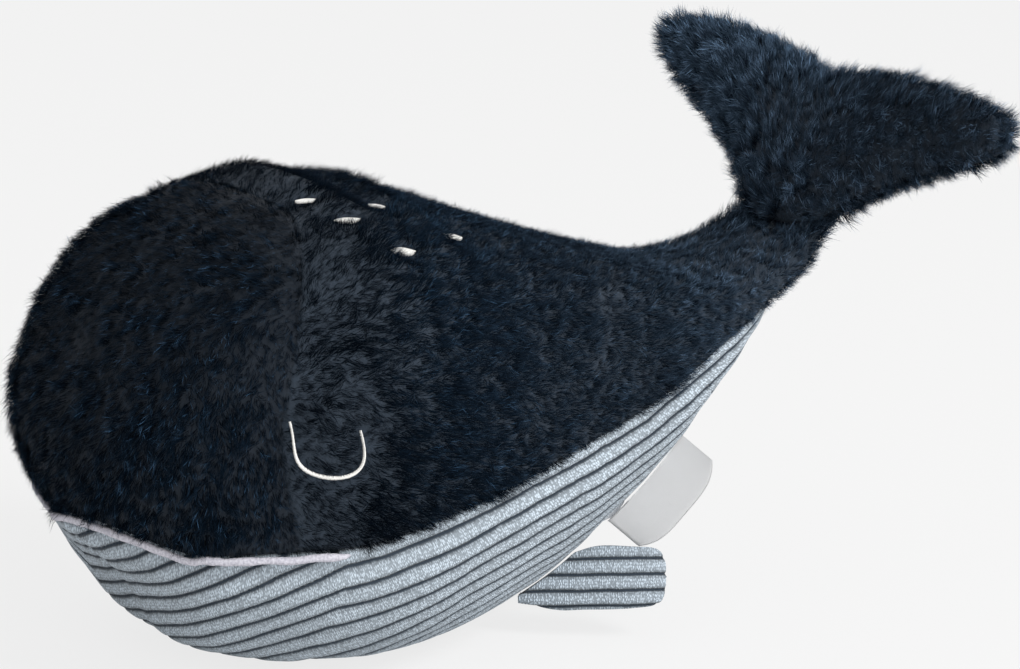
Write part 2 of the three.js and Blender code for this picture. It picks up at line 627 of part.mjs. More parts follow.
// Bare loop label, folded double and sewn into the base seam behind the left flipper
function addLabel() {
  const [fore, aft] = [[4.8, 148], [5.42, 144]].map(([u, degrees]) => {
    const angle = THREE.MathUtils.degToRad(degrees);
    return body.skin(u, angle, cordSink(u, angle));
  });
  const along = aft.clone().sub(fore).normalize();
  const outward = new THREE.Vector3(0.59, 0.7, -0.38);
  outward.addScaledVector(along, -outward.dot(along)).normalize();
  const root = fore.clone().addScaledVector(outward, -1);
  const facing = along.clone().cross(outward).normalize();
  const half = labelThickness;
  const outline = [[0, half], [labelReach - half, half]];
  for (let k = 1; k < 6; k += 1) {
    const turn = Math.PI / 2 - (Math.PI * k) / 6;
    outline.push([labelReach - half + half * Math.cos(turn), half * Math.sin(turn)]);
  }
  outline.push([labelReach - half, -half], [0, -half]);
  const bend = (share) => 1 - 0.25 * (2 * share - 1) ** 4;
  const rings = Array.from({ length: 9 }, (_, i) => {
    const share = i / 8;
    return outline.map(([reach, lift]) => root.clone()
      .addScaledVector(along, share * labelLength)
      .addScaledVector(outward, reach * bend(share))
      .addScaledVector(facing, lift));
  });
  const label = toSolid(loft(rings)).subtract(skinEnvelope).subtract(besideBase);
  addPiece('side_label', toGeometry(label), colours.label, 0.5);
}

addFur();
addBelly();
addPouch();
addInside();
addFlukes();
addFlipper(1, 'left_flipper');
addFlipper(-1, 'right_flipper');
addEye(1, 'left_eye');
addEye(-1, 'right_eye');
addSpots();
addPiping();
addLabel();

// Stand the toy on its flat, centred in plan
toy.updateMatrixWorld(true);
const bounds = new THREE.Box3().setFromObject(toy, true);
toy.position.set(0, -(bounds.min.y + bounds.max.y) / 2, -standDepth);

export default toy;
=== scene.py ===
import math

import bmesh
import bpy
import numpy as np
from mathutils import Matrix, Vector


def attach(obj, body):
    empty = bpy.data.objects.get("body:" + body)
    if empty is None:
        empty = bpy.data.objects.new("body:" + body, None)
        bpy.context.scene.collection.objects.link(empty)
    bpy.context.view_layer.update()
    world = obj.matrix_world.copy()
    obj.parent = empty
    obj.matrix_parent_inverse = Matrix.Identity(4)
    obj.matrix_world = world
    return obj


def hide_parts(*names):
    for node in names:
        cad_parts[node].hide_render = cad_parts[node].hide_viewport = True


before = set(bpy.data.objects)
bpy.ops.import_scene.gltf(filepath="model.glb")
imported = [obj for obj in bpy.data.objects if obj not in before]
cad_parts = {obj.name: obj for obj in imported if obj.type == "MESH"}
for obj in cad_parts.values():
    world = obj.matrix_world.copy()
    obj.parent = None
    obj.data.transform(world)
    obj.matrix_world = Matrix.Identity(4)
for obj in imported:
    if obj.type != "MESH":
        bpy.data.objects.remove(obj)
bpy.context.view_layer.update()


# Table and light: the toy lies on a plain pale table in a soft studio light, seen from its left front.
# The camera is far off, as for a catalogue picture, and looks a little down.
class Wire:
    """An output of a node tree's node, with sums and products written as on numbers."""

    def __init__(self, tree, socket=None):
        self.tree = tree
        self.socket = socket

    def node(self, kind, settings=None, inputs=None, output=0):
        node = self.tree.nodes.new(kind)
        for name, value in (settings or {}).items():
            setattr(node, name, value)
        for name, value in (inputs or {}).items():
            socket = node.inputs[name]
            if isinstance(value, Wire):
                self.tree.links.new(value.socket, socket)
            else:
                socket.default_value = value
        return Wire(self.tree, node.outputs[output] if node.outputs else None)

    def math(self, operation, *values):
        return self.node("ShaderNodeMath", {"operation": operation}, dict(enumerate(values)))

    def __add__(self, other):
        return self.math("ADD", self, other)

    __radd__ = __add__

    def __sub__(self, other):
        return self.math("SUBTRACT", self, other)

    def __rsub__(self, other):
        return self.math("SUBTRACT", other, self)

    def __mul__(self, other):
        return self.math("MULTIPLY", self, other)

    __rmul__ = __mul__

    def __truediv__(self, other):
        return self.math("DIVIDE", self, other)

    def __pow__(self, other):
        return self.math("POWER", self, other)

    def part(self, axis):
        return self.node("ShaderNodeSeparateXYZ", None, {"Vector": self}, axis)

    def noise(self, scale, detail=2.0, output=0):
        return self.node("ShaderNodeTexNoise", None, {"Vector": self, "Scale": scale, "Detail": detail}, output)

    def ramp(self, low, high, to_low=0.0, to_high=1.0):
        return self.node("ShaderNodeMapRange", {"interpolation_type": "SMOOTHSTEP"}, {
            "Value": self, "From Min": low, "From Max": high, "To Min": to_low, "To Max": to_high})

    def between(self, first, second):
        ends = [value if isinstance(value, Wire) else (*value, 1) for value in (first, second)]
        return self.node("ShaderNodeMix", {"data_type": "RGBA"}, {0: self, 6: ends[0], 7: ends[1]}, 2)

    def joined(self, operation, other):
        """The sum or difference of two vectors."""
        return self.node("ShaderNodeVectorMath", {"operation": operation}, {0: self, 1: other})

    def scaled(self, factor):
        """A vector or a colour times one number."""
        return self.node("ShaderNodeVectorMath", {"operation": "SCALE"}, {0: self, "Scale": factor})


def new_material(name):
    material = bpy.data.materials.new(name)
    material.use_nodes = True
    tree = material.node_tree
    tree.nodes.clear()
    wire = Wire(tree)
    wire.object_place = wire.node("ShaderNodeTexCoord", output=3)
    return material, wire


def finish_material(wire, inputs, height=None, relief=0.001):
    if height is not None:
        inputs["Normal"] = wire.node("ShaderNodeBump", None, {"Height": height, "Distance": relief})
    surface = wire.node("ShaderNodeBsdfPrincipled", None, inputs)
    wire.node("ShaderNodeOutputMaterial", None, {"Surface": surface})


table_shade = 0.80
table_glow = 0.925
backdrop = 0.93
studio_light = 0.64
scene = bpy.context.scene
scene.view_settings.view_transform = "Standard"


def smooth_mesh(name, bm):
    for face in bm.faces:
        face.smooth = True
    mesh = bpy.data.meshes.new(name)
    bm.to_mesh(mesh)
    bm.free()
    return mesh


def put_in_scene(name, data):
    thing = bpy.data.objects.new(name, data)
    scene.collection.objects.link(thing)
    return thing


bm = bmesh.new()
bmesh.ops.create_grid(bm, x_segments=4, y_segments=4, size=6)
table = put_in_scene("table_top", smooth_mesh("table_top", bm))
material, wire = new_material("pale_table")
lit = wire.node("ShaderNodeBsdfDiffuse", None, {"Color": (table_shade, table_shade, table_shade, 1)})
glow = wire.node("ShaderNodeEmission", None, {"Color": (1, 1, 1, 1), "Strength": table_glow})
seen = wire.node("ShaderNodeLightPath", output="Is Camera Ray")
both = wire.node("ShaderNodeMixShader", None, {0: seen * 0.85, 1: lit, 2: glow})
wire.node("ShaderNodeOutputMaterial", None, {"Surface": both})
table.data.materials.append(material)

world = bpy.data.worlds.new("studio")
scene.world = world
world.use_nodes = True
world.node_tree.nodes.clear()
wire = Wire(world.node_tree)
path = wire.node("ShaderNodeLightPath", output="Is Camera Ray")
level = path * (backdrop - studio_light) + studio_light
sky = wire.node("ShaderNodeBackground", None, {"Color": (1, 1, 1, 1), "Strength": level})
wire.node("ShaderNodeOutputWorld", None, {"Surface": sky})


def add_lamp(name, place, size, watts, aim):
    lamp = bpy.data.lights.new(name, "AREA")
    lamp.shape = "DISK"
    lamp.size = size
    lamp.energy = watts
    holder = put_in_scene(name, lamp)
    turn = (Vector(aim) - Vector(place)).to_track_quat("-Z", "Y")
    holder.matrix_world = Matrix.LocRotScale(Vector(place), turn, None)


add_lamp("key_lamp", (1.35, 0.5, 1.35), 0.7, 24, (0, 0.03, 0.06))
add_lamp("side_lamp", (1.85, -0.35, 0.7), 0.8, 10, (0, 0, 0.05))

camera_data = bpy.data.cameras.new("camera")
camera = put_in_scene("camera", camera_data)
azimuth, elevation, roll = (math.radians(degrees) for degrees in (56.4, 15.1, 2.1))
distance = 1.32
looked_at = Vector((0, 0.011812, 0.0765))
toward = Vector((math.sin(azimuth) * math.cos(elevation), -math.cos(azimuth) * math.cos(elevation),
                 math.sin(elevation)))
turn = toward.to_track_quat("Z", "Y").to_matrix() @ Matrix.Rotation(roll, 3, "Z")
camera.matrix_world = Matrix.Translation(looked_at + distance * toward) @ turn.to_4x4()
camera_data.sensor_width = 36
camera_data.lens = 154.2
camera_data.shift_x = 0.0099
camera_data.shift_y = 0.0299
camera_data.dof.use_dof = False
scene.camera = camera


# Forehead: faux fur on a knitted ground, cut as one panel from the mouth over the brow to a seam across
# the crown. Its pile is dense and falls straight down toward the mouth.
def through(values, u):
    """Smooth curve through values that stand at whole stations."""
    values = np.asarray(values, float)
    u = np.asarray(u, float)
    last = len(values) - 1
    k = np.clip(np.floor(u), 0, last - 1).astype(int)
    t = u - k
    if values.ndim > 1:
        t = t[..., None]
    before, here, there, after = (values[np.clip(k + step, 0, last)] for step in (-1, 0, 1, 2))
    slope_here = (there - before) / 2
    slope_there = (after - here) / 2
    return ((2 * here - 2 * there + slope_here + slope_there) * t ** 3
            + (3 * there - 3 * here - 2 * slope_here - slope_there) * t ** 2 + slope_here * t + here)


def smooth(value, low, high):
    t = np.clip((np.asarray(value, float) - low) / (high - low), 0, 1)
    return t * t * (3 - 2 * t)


def unit(vectors):
    return vectors / np.maximum(np.linalg.norm(vectors, axis=-1, keepdims=True), 1e-9)


class StuffedForm:
    """Swelling form between an upper and a lower line, in millimetres. Angle 0 is the upper line."""

    def __init__(self, upper, lower, bulge, axes, origin, squareness):
        self.upper, self.lower, self.bulge = (np.array(line, float) for line in (upper, lower, bulge))
        self.axes = np.array(axes, float)
        self.origin = np.array(origin, float)
        self.squareness = squareness
        self.stations = len(upper) - 1

    def point(self, u, angle):
        u, angle = np.broadcast_arrays(np.asarray(u, float), np.asarray(angle, float))
        top, bottom = through(self.upper, u), through(self.lower, u)
        side = np.maximum(through(self.bulge, u), 0)
        c, s = np.cos(angle), np.sin(angle)
        power = 2 + self.squareness(u, c)
        reach = (np.abs(c) ** power + np.abs(s) ** power) ** (-1 / power)
        flat = (top + bottom) / 2 + (reach * c)[..., None] * (top - bottom) / 2
        return np.concatenate([flat, (reach * s * side)[..., None]], -1) @ self.axes + self.origin

    def normal(self, u, angle):
        step = 0.02
        v = np.clip(u, 0.1, self.stations - step)
        along = self.point(v + step, angle) - self.point(v - step, angle)
        round_it = self.point(v, angle + step) - self.point(v, angle - step)
        return unit(np.cross(round_it, along)) * np.sign(np.linalg.det(self.axes))

    def skin(self, u, angle, depth):
        return self.point(u, angle) - self.normal(u, angle) * np.asarray(depth)[..., None]


nose_y = -140.440
table_z = -0.5
body_length = 272
head_height = 141
half_width = 73


def outline(shares, length, height, start=(0, 0)):
    """Line of points given as shares of a length and a height."""
    return [(start[0] + a * length, start[1] + b * height) for a, b in shares]


def body_squareness(u, c):
    head = smooth(u, 0, 2)
    return np.where(c > 0, head * (1 - smooth(u, 4.8, 6.8)), 0.3 * head * (1 - smooth(u, 3, 4)))


hands = ((1, "left"), (-1, "right"))
nose = (nose_y, table_z)
body = StuffedForm(
    outline([(0, .355), (-.007, .567), (.055, .794), (.147, .936), (.272, 1), (.426, .95), (.61, .837),
             (.787, .75), (.902, .8)], body_length, head_height, nose),
    outline([(0, .355), (.077, .213), (.136, .064), (.28, .002), (.475, .014), (.7, .225), (.846, .511),
             (.93, .681), (1, .837)], body_length, head_height, nose),
    [share * half_width for share in (0, .52, .795, 1, .973, .71, .52, .39, .29)],
    [(0, 1, 0), (0, 0, 1), (1, 0, 0)], (0, 0, 0), body_squareness)


def seam_angle(u):
    """Angle of the seam between the fur above and the corduroy below."""
    return np.radians(through([90, 105, 103, 103, 100, 107, 123, 148, 168], u))


def brow_station(share):
    """Station of the seam between the forehead and the back."""
    return 3.75 - 1.25 * smooth(np.abs(share), 0.1, 0.75)


def eye_path(t):
    """Stations and angles of the left eye's stitching, where t runs from -1 at one end to 1 at the other."""
    turn = np.sin(np.pi / 2 * t)
    return 2.92 + 0.27 * turn - 0.1 * (1 - t * t), np.radians(70.5 + 3.5 * turn + 12 * np.sqrt(1 - t * t))


# Each spot's station, its degrees from the upper line and its size, and the middles of the dents they make
spot_places = [(4.03, 10, 0.7), (4.09, 25, 1.0), (4.57, 15.5, 0.6), (4.26, 39, 1.0), (4.88, 34, 0.75)]
spot_pits = np.array([body.point(u, math.radians(a)) for u, a, size in spot_places])
noise_seed = np.random.default_rng(7)
ripple_turns = noise_seed.normal(size=(24, 3))
ripple_starts = noise_seed.uniform(0, 6.283, 24)


def ripple(points, length):
    """Soft unevenness from -1 to 1, with hills about a length across, in millimetres."""
    waves = np.sin(points @ (ripple_turns.T * 2.6 / length) + ripple_starts)
    return np.clip(waves.sum(-1) / 6, -1, 1)


def needle_reach(points):
    """Distance of points to the stitched eyes and to the dents at their ends."""
    t = np.sin(np.linspace(-np.pi / 2, np.pi / 2, 60))
    u, angle = eye_path(t)
    line = body.point(u, angle)
    ends = line[[0, -1]]
    mirrored = points.copy()
    mirrored[..., 0] = np.abs(mirrored[..., 0])
    to_line = np.linalg.norm(mirrored[..., None, :] - line, axis=-1).min(-1)
    to_end = np.linalg.norm(mirrored[..., None, :] - ends, axis=-1).min(-1)
    return to_line, to_end


def lay_cloth(name, rows, columns, shape, hem=2.0, mirrored=True, cut=None, widest=None):
    """Cloth laid on a form, as one half and its mirror image unless told otherwise. shape turns shares of
    the rows and columns into points, normals and attributes. The cloth's free edge is turned in by the
    hem, it ends at a cut, which is a point and the direction that is kept, and it is open where its mesh
    would be wider than the widest."""
    bm = bmesh.new()
    bmesh.ops.create_grid(bm, x_segments=columns, y_segments=rows, size=0.5)
    shares = np.array([v.co for v in bm.verts]) + 0.5
    points, normals, attributes = shape(shares[:, 1], shares[:, 0])
    layers = [bm.verts.layers.float_vector.new(key) for key in attributes]
    inward = bm.verts.layers.float_vector.new("inward")
    uv = bm.loops.layers.uv.new("OFBake")
    wide = 0.48 if mirrored else 0.98
    for v, place, normal, *values in zip(bm.verts, points / 1000, -normals * hem / 1000, *attributes.values()):
        for loop in v.link_loops:
            loop[uv].uv = (0.01 + wide * (v.co.y + 0.5), 0.01 + 0.98 * (v.co.x + 0.5))
        v.co = place
        v[inward] = normal
        for layer, value in zip(layers, values):
            v[layer] = value
    if widest:
        bmesh.ops.delete(bm, geom=[f for f in bm.faces if max(e.calc_length() for e in f.edges) > widest],
                         context="FACES")
    bm.normal_update()
    middle = bm.faces[:][len(bm.faces) // 3]
    if middle.normal.dot(middle.verts[0][inward]) > 0:
        bmesh.ops.reverse_faces(bm, faces=bm.faces)
    if cut:
        bmesh.ops.bisect_plane(bm, geom=bm.verts[:] + bm.edges[:] + bm.faces[:], plane_co=cut[0], plane_no=cut[1],
                               clear_inner=True)
    if mirrored:
        copied = bmesh.ops.duplicate(bm, geom=bm.verts[:] + bm.edges[:] + bm.faces[:])["geom"]
        other_faces = [item for item in copied if isinstance(item, bmesh.types.BMFace)]
        for v in copied:
            if isinstance(v, bmesh.types.BMVert):
                v.co.x = -v.co.x
                for layer in [*layers, inward]:
                    v[layer] = Vector(v[layer]) * Vector((-1, 1, 1))
        bmesh.ops.reverse_faces(bm, faces=other_faces)
        for face in other_faces:
            for loop in face.loops:
                loop[uv].uv = (1 - loop[uv].uv.x, loop[uv].uv.y)
    bmesh.ops.remove_doubles(bm, verts=[v for v in bm.verts if v.is_boundary], dist=2e-5)
    bmesh.ops.dissolve_degenerate(bm, edges=bm.edges, dist=1e-6)
    edge = [e for e in bm.edges if e.is_boundary]
    if hem and edge:
        turned_in = bmesh.ops.extrude_edge_only(bm, edges=edge)["geom"]
        for v in turned_in:
            if isinstance(v, bmesh.types.BMVert):
                v.co += Vector(v[inward])
        # The hem's faces come in a new order each run and would sow the pile anew, so they are put in one order
        hem_faces = [item for item in turned_in if isinstance(item, bmesh.types.BMFace)]
        bm.faces.index_update()
        places = sorted(face.index for face in hem_faces)
        hem_faces.sort(key=lambda face: [tuple(v.co) for v in face.verts])
        order = dict(zip(hem_faces, places))
        bm.faces.sort(key=lambda face: order.get(face, face.index))
    return put_in_scene(name, smooth_mesh(name, bm))


def dress(piece, body_name, slot, material, *nodes, fill=None):
    """Gives a piece its material and its body, and hides the nodes that it stands for. Its slot is not used."""
    piece.data.materials.append(material)
    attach(piece, body_name)
    if nodes:
        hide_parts(*nodes)


ground_depth = 3.2
# The fur's two colours are one navy pile under painted light: painted shade on the head, painted sheen toward the
# tail.
fur_in_painted_shade = (0.0060, 0.0130, 0.0235)
fur_in_painted_light = (0.0215, 0.0350, 0.0540)


def tinted(colour, strength, lift=0.0):
    return tuple(strength * c + lift for c in colour)


def fur_material(name):
    """Fibres darkened toward their roots by painted shade deep in the pile, each of a slightly different blue. The
    pile on the head is seen end on and is painted darker than where it lies down toward the tail, where a painted
    sheen makes it lighter and bluer. Painted light also brightens it toward the tail and high up, painted shade
    darkens it low on the sides, and painted highlights and glints light the tips of a few fibres."""
    material, wire = new_material(name)
    place = wire.node("ShaderNodeUVMap", {"uv_map": "OFBake"})
    tone, along = place.part(0), place.part(1)
    ahead, height = wire.object_place.part(1), wire.object_place.part(2)
    # Painted sheen: the pile turns from the shaded colour on the head to the lit colour toward the tail.
    painted_sheen = ahead.ramp(-0.065, 0.105)
    tip = painted_sheen.between(fur_in_painted_shade, fur_in_painted_light)
    # Painted highlights: pale tips on a few fibres, gathered in clumps by the tuft noise.
    pale = painted_sheen.between(tinted(fur_in_painted_shade, 8, 0.004), tinted(fur_in_painted_light, 8, 0.03))
    # Painted shade deep in the pile: each fibre darkens toward its root.
    body_colour = along.ramp(0.3, 1.0).between((0.0015, 0.003, 0.0055), tip)
    tuft = wire.object_place.noise(260).ramp(0.42, 0.62, 0.1, 1.0)
    colour = (along.ramp(0.4, 1.0) * tone ** 3.0 * tuft).between(body_colour, pale)
    # Painted glints: bright tips on the palest fibres.
    glint = painted_sheen.between(tinted(fur_in_painted_shade, 14), tinted(fur_in_painted_light, 7))
    colour = (tone.ramp(0.8, 0.94) * along.ramp(0.5, 0.9)).between(colour, glint)
    # Painted light and shade: brighter toward the tail and high up, darker low on the sides.
    level = (ahead.ramp(0.03, 0.09, 1.0, 1.8) * height.ramp(0.03, 0.09, 0.7, 1.0)
             * height.ramp(0.11, 0.15, 1.0, 1.2))
    finish_material(wire, {"Base Color": colour.scaled(level), "Roughness": 0.75, "Specular IOR Level": 0.02,
                           "Specular Tint": (0.4, 0.62, 0.9, 1)})
    return material


def backing_material(name, colour):
    """Knitted ground that the pile is worked into, seen only between the fibres."""
    material, wire = new_material(name)
    grain = wire.object_place.noise(900)
    shade = grain.between(tinted(colour, 0.5), colour)
    finish_material(wire, {"Base Color": shade, "Roughness": 0.95}, grain, 0.0004)
    return material


def fibre_lock(name, seed, length, lean):
    """Nine tapering fibres that grow together and lean toward +X, in millimetres."""
    fibres, spread = 9, 1.5
    rng = np.random.default_rng(seed)
    bm = bmesh.new()
    strand = bm.loops.layers.uv.new("strand")
    gather = rng.uniform(-0.5, 0.5, 2) * spread
    for _ in range(fibres):
        made = bmesh.ops.create_grid(bm, x_segments=1, y_segments=2, size=0.5)["verts"]
        root = rng.normal(size=2) * spread / 2
        own = length * rng.uniform(0.72, 1.12)
        rise = lean * rng.uniform(0.75, 1.25)
        twist = rng.uniform(-1.2, 1.2)
        shade = rng.uniform()
        sway = rng.normal() * 0.16
        wide = rng.uniform(0.1, 0.19)
        for v in made:
            side, t = v.co.x, v.co.y + 0.5
            for loop in v.link_loops:
                loop[strand].uv = (shade, t)
            bend = t ** 1.4
            forward = own * (math.cos(rise) * bend * 0.95 + 0.1 * t)
            up = own * (math.sin(rise) * (t - 0.28 * t * t))
            across = own * sway * t * t
            pull = 0.55 * t * t
            width = wide * (1 - t ** 2.2) * side
            v.co = Vector((root[0] + forward + pull * (gather[0] - root[0]) + width * math.sin(twist) * 0.5,
                           root[1] + across + pull * (gather[1] - root[1]) + width * math.cos(twist),
                           up - 0.4 + width * math.sin(twist))) / 1000
    bmesh.ops.remove_doubles(bm, verts=bm.verts, dist=1e-7)
    return bpy.data.objects.new(name, smooth_mesh(name, bm))


def cut_locks(name, seed, length, lean, lean_step):
    """The eight kinds of lock that one piece of fur is grown from."""
    return [fibre_lock(f"{name}_lock_{k}", seed + k, length, lean + lean_step * (k % 4)) for k in range(8)]


def worked_out(piece):
    """A new mesh, as the piece's modifiers make it."""
    return bpy.data.meshes.new_from_object(piece.evaluated_get(bpy.context.evaluated_depsgraph_get()))


def grow_pile(name, ground, locks, per_square_mm, seed, side=0, end=0):
    """Locks of fibres set all over a ground cloth, or over its part on one side and toward one end, each
    turned to its comb attribute, given painted shade and scaled by its pile attribute, and made one real mesh."""
    store = bpy.data.collections.new(name + "_locks")
    for lock in locks:
        store.objects.link(lock)
    tree = bpy.data.node_groups.new(name, "GeometryNodeTree")
    for way in ("INPUT", "OUTPUT"):
        tree.interface.new_socket("Geometry", in_out=way, socket_type="NodeSocketGeometry")
    start = Wire(tree)

    def attribute(key, kind="FLOAT_VECTOR"):
        return start.node("GeometryNodeInputNamedAttribute", {"data_type": kind}, {"Name": key})

    def chance(low, high, own_seed):
        return start.node("FunctionNodeRandomValue", {"data_type": "FLOAT"}, {2: low, 3: high, "Seed": own_seed}, 1)

    comb, pile, strand = attribute("comb"), attribute("pile"), attribute("strand")
    place = start.node("GeometryNodeInputPosition")
    scatter = {"Mesh": start.node("NodeGroupInput"), "Density": per_square_mm * 1e6, "Seed": seed}
    if side:
        within = place.part(0) * side
        if end:
            within = start.math("MINIMUM", within, (place.part(1) - 0.005) * end)
        scatter["Selection"] = start.node(
            "FunctionNodeCompare", {"data_type": "FLOAT", "operation": "GREATER_THAN"}, {"A": within, "B": 0.0})
    points = start.node("GeometryNodeDistributePointsOnFaces", None, scatter)
    normal = Wire(tree, points.socket.node.outputs["Normal"])
    upright = start.node("FunctionNodeAlignRotationToVector", {"axis": "Z"}, {"Vector": normal})
    stray = start.node("FunctionNodeRandomValue", {"data_type": "FLOAT_VECTOR"},
                       {0: (-0.5, -0.5, -0.5), 1: (0.5, 0.5, 0.5), "Seed": seed + 1})
    drift = place.noise(150, 1.0, "Color").joined("SUBTRACT", (0.5, 0.5, 0.5)).scaled(2.4)
    heart = start.node("ShaderNodeTexVoronoi", None, {"Vector": place, "Scale": 190.0}, "Position")
    gather = heart.joined("SUBTRACT", place).scaled(170.0)
    lie = comb.joined("ADD", stray).joined("ADD", drift).joined("ADD", gather)
    combed = start.node("FunctionNodeAlignRotationToVector", {"axis": "X", "pivot_axis": "Z"},
                        {"Rotation": upright, "Vector": lie})
    picks = start.node("GeometryNodeCollectionInfo", None,
                       {"Collection": store, "Separate Children": True, "Reset Children": True})
    grown = start.node("GeometryNodeInstanceOnPoints", None, {
        "Points": points, "Instance": picks, "Pick Instance": True, "Rotation": combed,
        "Scale": chance(0.75, 1.15, seed + 2) * pile.part(2)})
    toned = start.node("GeometryNodeStoreNamedAttribute", {"data_type": "FLOAT", "domain": "INSTANCE"},
                       {"Geometry": grown, "Name": "tone", "Value": chance(0.0, 1.0, seed + 3)})
    real = start.node("GeometryNodeRealizeInstances", None, {"Geometry": toned})
    # The map's second coordinate runs along each fibre, shortened by the painted shade in the pile attribute, so
    # the fibre is painted darker.
    spread = start.node("ShaderNodeCombineXYZ", None, {
        "X": attribute("tone", "FLOAT") * 0.6 + strand.part(0) * 0.38 + 0.01,
        "Y": strand.part(1) * pile.part(1) * 0.98 + 0.01})
    mapped = start.node("GeometryNodeStoreNamedAttribute", {"data_type": "FLOAT2", "domain": "CORNER"},
                        {"Geometry": real, "Name": "OFBake", "Value": spread})
    start.node("NodeGroupOutput", None, {"Geometry": mapped})
    bearer = put_in_scene(name + "_bearer", ground.data.copy())
    bearer.modifiers.new("pile", "NODES").node_group = tree
    mesh = worked_out(bearer)
    mesh.name = name
    mesh.materials.clear()
    bpy.data.objects.remove(bearer)
    bpy.data.node_groups.remove(tree)
    for lock in locks:
        store.objects.unlink(lock)
    bpy.data.collections.remove(store)
    return put_in_scene(name, mesh)


def tufted(points, longest):
    """Share of its full height that the pile has at each point, in tufts of three sizes."""
    return 1 + 0.14 * ripple(points, longest) + 0.2 * ripple(points, 9) + 0.22 * ripple(points, 5)


def pile_values(comb, height, shade=1.0):
    return {"comb": comb, "pile": np.stack([0 * height, shade + 0 * height, height], -1)}


def fur_ground(points, normals, comb, length, shade=1.0):
    """Dents the ground where the needle pulls it in and shortens the pile there. Shade under 1 darkens the pile
    with painted shade.
    """
    to_line, to_end = needle_reach(points)
    to_spot = np.linalg.norm(points[:, None, :] - spot_pits, axis=-1).min(-1)
    pull = (2.0 * np.exp(-(to_line / 4) ** 2) + 1.6 * np.exp(-(to_end / 5) ** 2)
            + 2.6 * np.exp(-(to_spot / 4.5) ** 2) + 2.0 * np.exp(-(to_spot / 11) ** 2))
    points = points - normals * pull[:, None]
    height = length * tufted(points, 28)
    height = height * (0.14 + 0.86 * smooth(to_line, 1.6, 5.5)) * (0.35 + 0.65 * smooth(to_spot, 1.5, 6))
    comb = unit(comb - normals * (comb * normals).sum(-1, keepdims=True))
    return points, normals, pile_values(comb, height, shade)


def ground_under(u, angle):
    """Depth of the knitted ground: the stuffing lifts it at the crown, in lumps between the stitched spots,
    and it is slimmer at the tail."""
    lumps = np.exp(-((u - 4.3) / 0.7) ** 4) * np.clip(np.cos(angle), 0, 1)
    crown = np.exp(-((u - 3.7) / 1.3) ** 2) * np.clip(np.cos(angle), 0, 1)
    heel = np.exp(-((u - 7.2) / 0.4) ** 2) * smooth(np.abs(angle) / seam_angle(u), 0.6, 0.95)
    crown = 2.2 * crown + lumps * (1.3 + 1.3 * np.sin(10.5 * u + 2.2) * np.cos(1.3 * angle))
    return (ground_depth - crown) * (1 - 0.3 * smooth(u, 6.6, 8)) - 2.8 * heel


def forehead_shape(row, column):
    share = column
    u = 0.02 + (brow_station(share) - 0.02) * row
    angle = share * seam_angle(u)
    crease = np.exp(-((1 - row) * 30) ** 2 / 18)
    points = body.skin(u, angle, ground_under(u, angle) + 1.2 * crease)
    normals = body.normal(u, angle)
    down = np.tile([0.0, 0.05, -1.0], (len(u), 1))
    forward = np.tile([0.0, -1.0, -0.3], (len(u), 1))
    fall = smooth(points[:, 2], 100, 134)[:, None]
    trimmed = 0.5 + 0.5 * smooth(1 - np.abs(share), 0, 0.08)
    return fur_ground(points, normals, down * (1 - fall) + forward * fall, (1 - 0.3 * crease) * trimmed)


forehead = lay_cloth("forehead_ground", 46, 60, forehead_shape)
dress(forehead, "torso", "plush", backing_material("forehead_knit", fur_in_painted_shade), "forehead_plush", fill=0.85)
fur = fur_material("fur")
forehead_locks = cut_locks("forehead", 0, 5.6, 0.72, 0.12)
for side, hand in hands:
    pile = grow_pile(f"forehead_pile_{hand}", forehead, forehead_locks, 0.55, 11 * (2 + side), side)
    dress(pile, "torso", "plush", fur)


# Back: the same fur cut from the crown to the tail and combed toward the tail, where painted sheen makes it
# lighter and bluer than on the forehead. It is grown in four parts, so that none is too heavy a mesh.
def back_shape(row, column):
    share = 2 * column - 1
    start = brow_station(share)
    u = start + (body.stations - start) * row
    angle = share * seam_angle(u)
    crease = np.exp(-(row * 44) ** 2 / 18)
    points = body.skin(u, angle, ground_under(u, angle) + 1.2 * crease)
    normals = body.normal(u, angle)
    ahead = np.minimum(u + 0.1, body.stations)
    along = unit(body.point(ahead, angle) - body.point(ahead - 0.1, angle))
    down = np.array([0, 0, -0.35])
    comb = along + down * smooth(np.abs(share), 0.2, 0.8)[:, None]
    length = (1 - 0.3 * crease) * (1 - 0.12 * smooth(u, 5, 7) + 0.45 * smooth(u, 7.3, 7.9))
    # Painted shade: the pile just behind the forehead seam is darkened.
    return fur_ground(points, normals, comb, length, 0.62 + 0.38 * smooth(row, 0.08, 0.26))


back = lay_cloth("back_ground", 80, 130, back_shape, mirrored=False)
dress(back, "torso", "plush", backing_material("back_knit", fur_in_painted_light), "back_plush", fill=0.85)
back_locks = cut_locks("back", 20, 5.2, 0.62, 0.14)
for side, hand in hands:
    for end, where in ((-1, "front"), (1, "rear")):
        pile = grow_pile(f"back_pile_{hand}_{where}", back, back_locks, 0.55, 31 * (2 + side) + end, side, end)
        dress(pile, "torso", "plush", fur)


# Chin and sides: wide-wale corduroy, its wales running back along the body and round the chin as hoops.
# The panel is sewn under the fur's edge above and to the base below, and pulled tight by the stuffing.
wale_pitch = 4.9
base_front_y = nose_y + 44
base_length = 176


def base_half_width(y):
    shares = [0, .015, .08, .2, .4, .57, .72, .85, .94, 1]
    halves = [0, .4, .82, .96, 1, 1, 1, .95, .66, .22]
    return np.interp((y - base_front_y) / base_length, shares, halves, left=0, right=0) * 28.5


def base_edge_angle(u):
    """Angle at which the underside's outline crosses each station."""
    angles = np.radians(np.linspace(100, 180, 161))
    grid = body.point(u[:, None], angles[None, :])
    inside = grid[..., 0] < base_half_width(grid[..., 1])
    first = np.where(inside.any(1), inside.argmax(1), 160)
    return np.radians(100 + 0.5 * first)


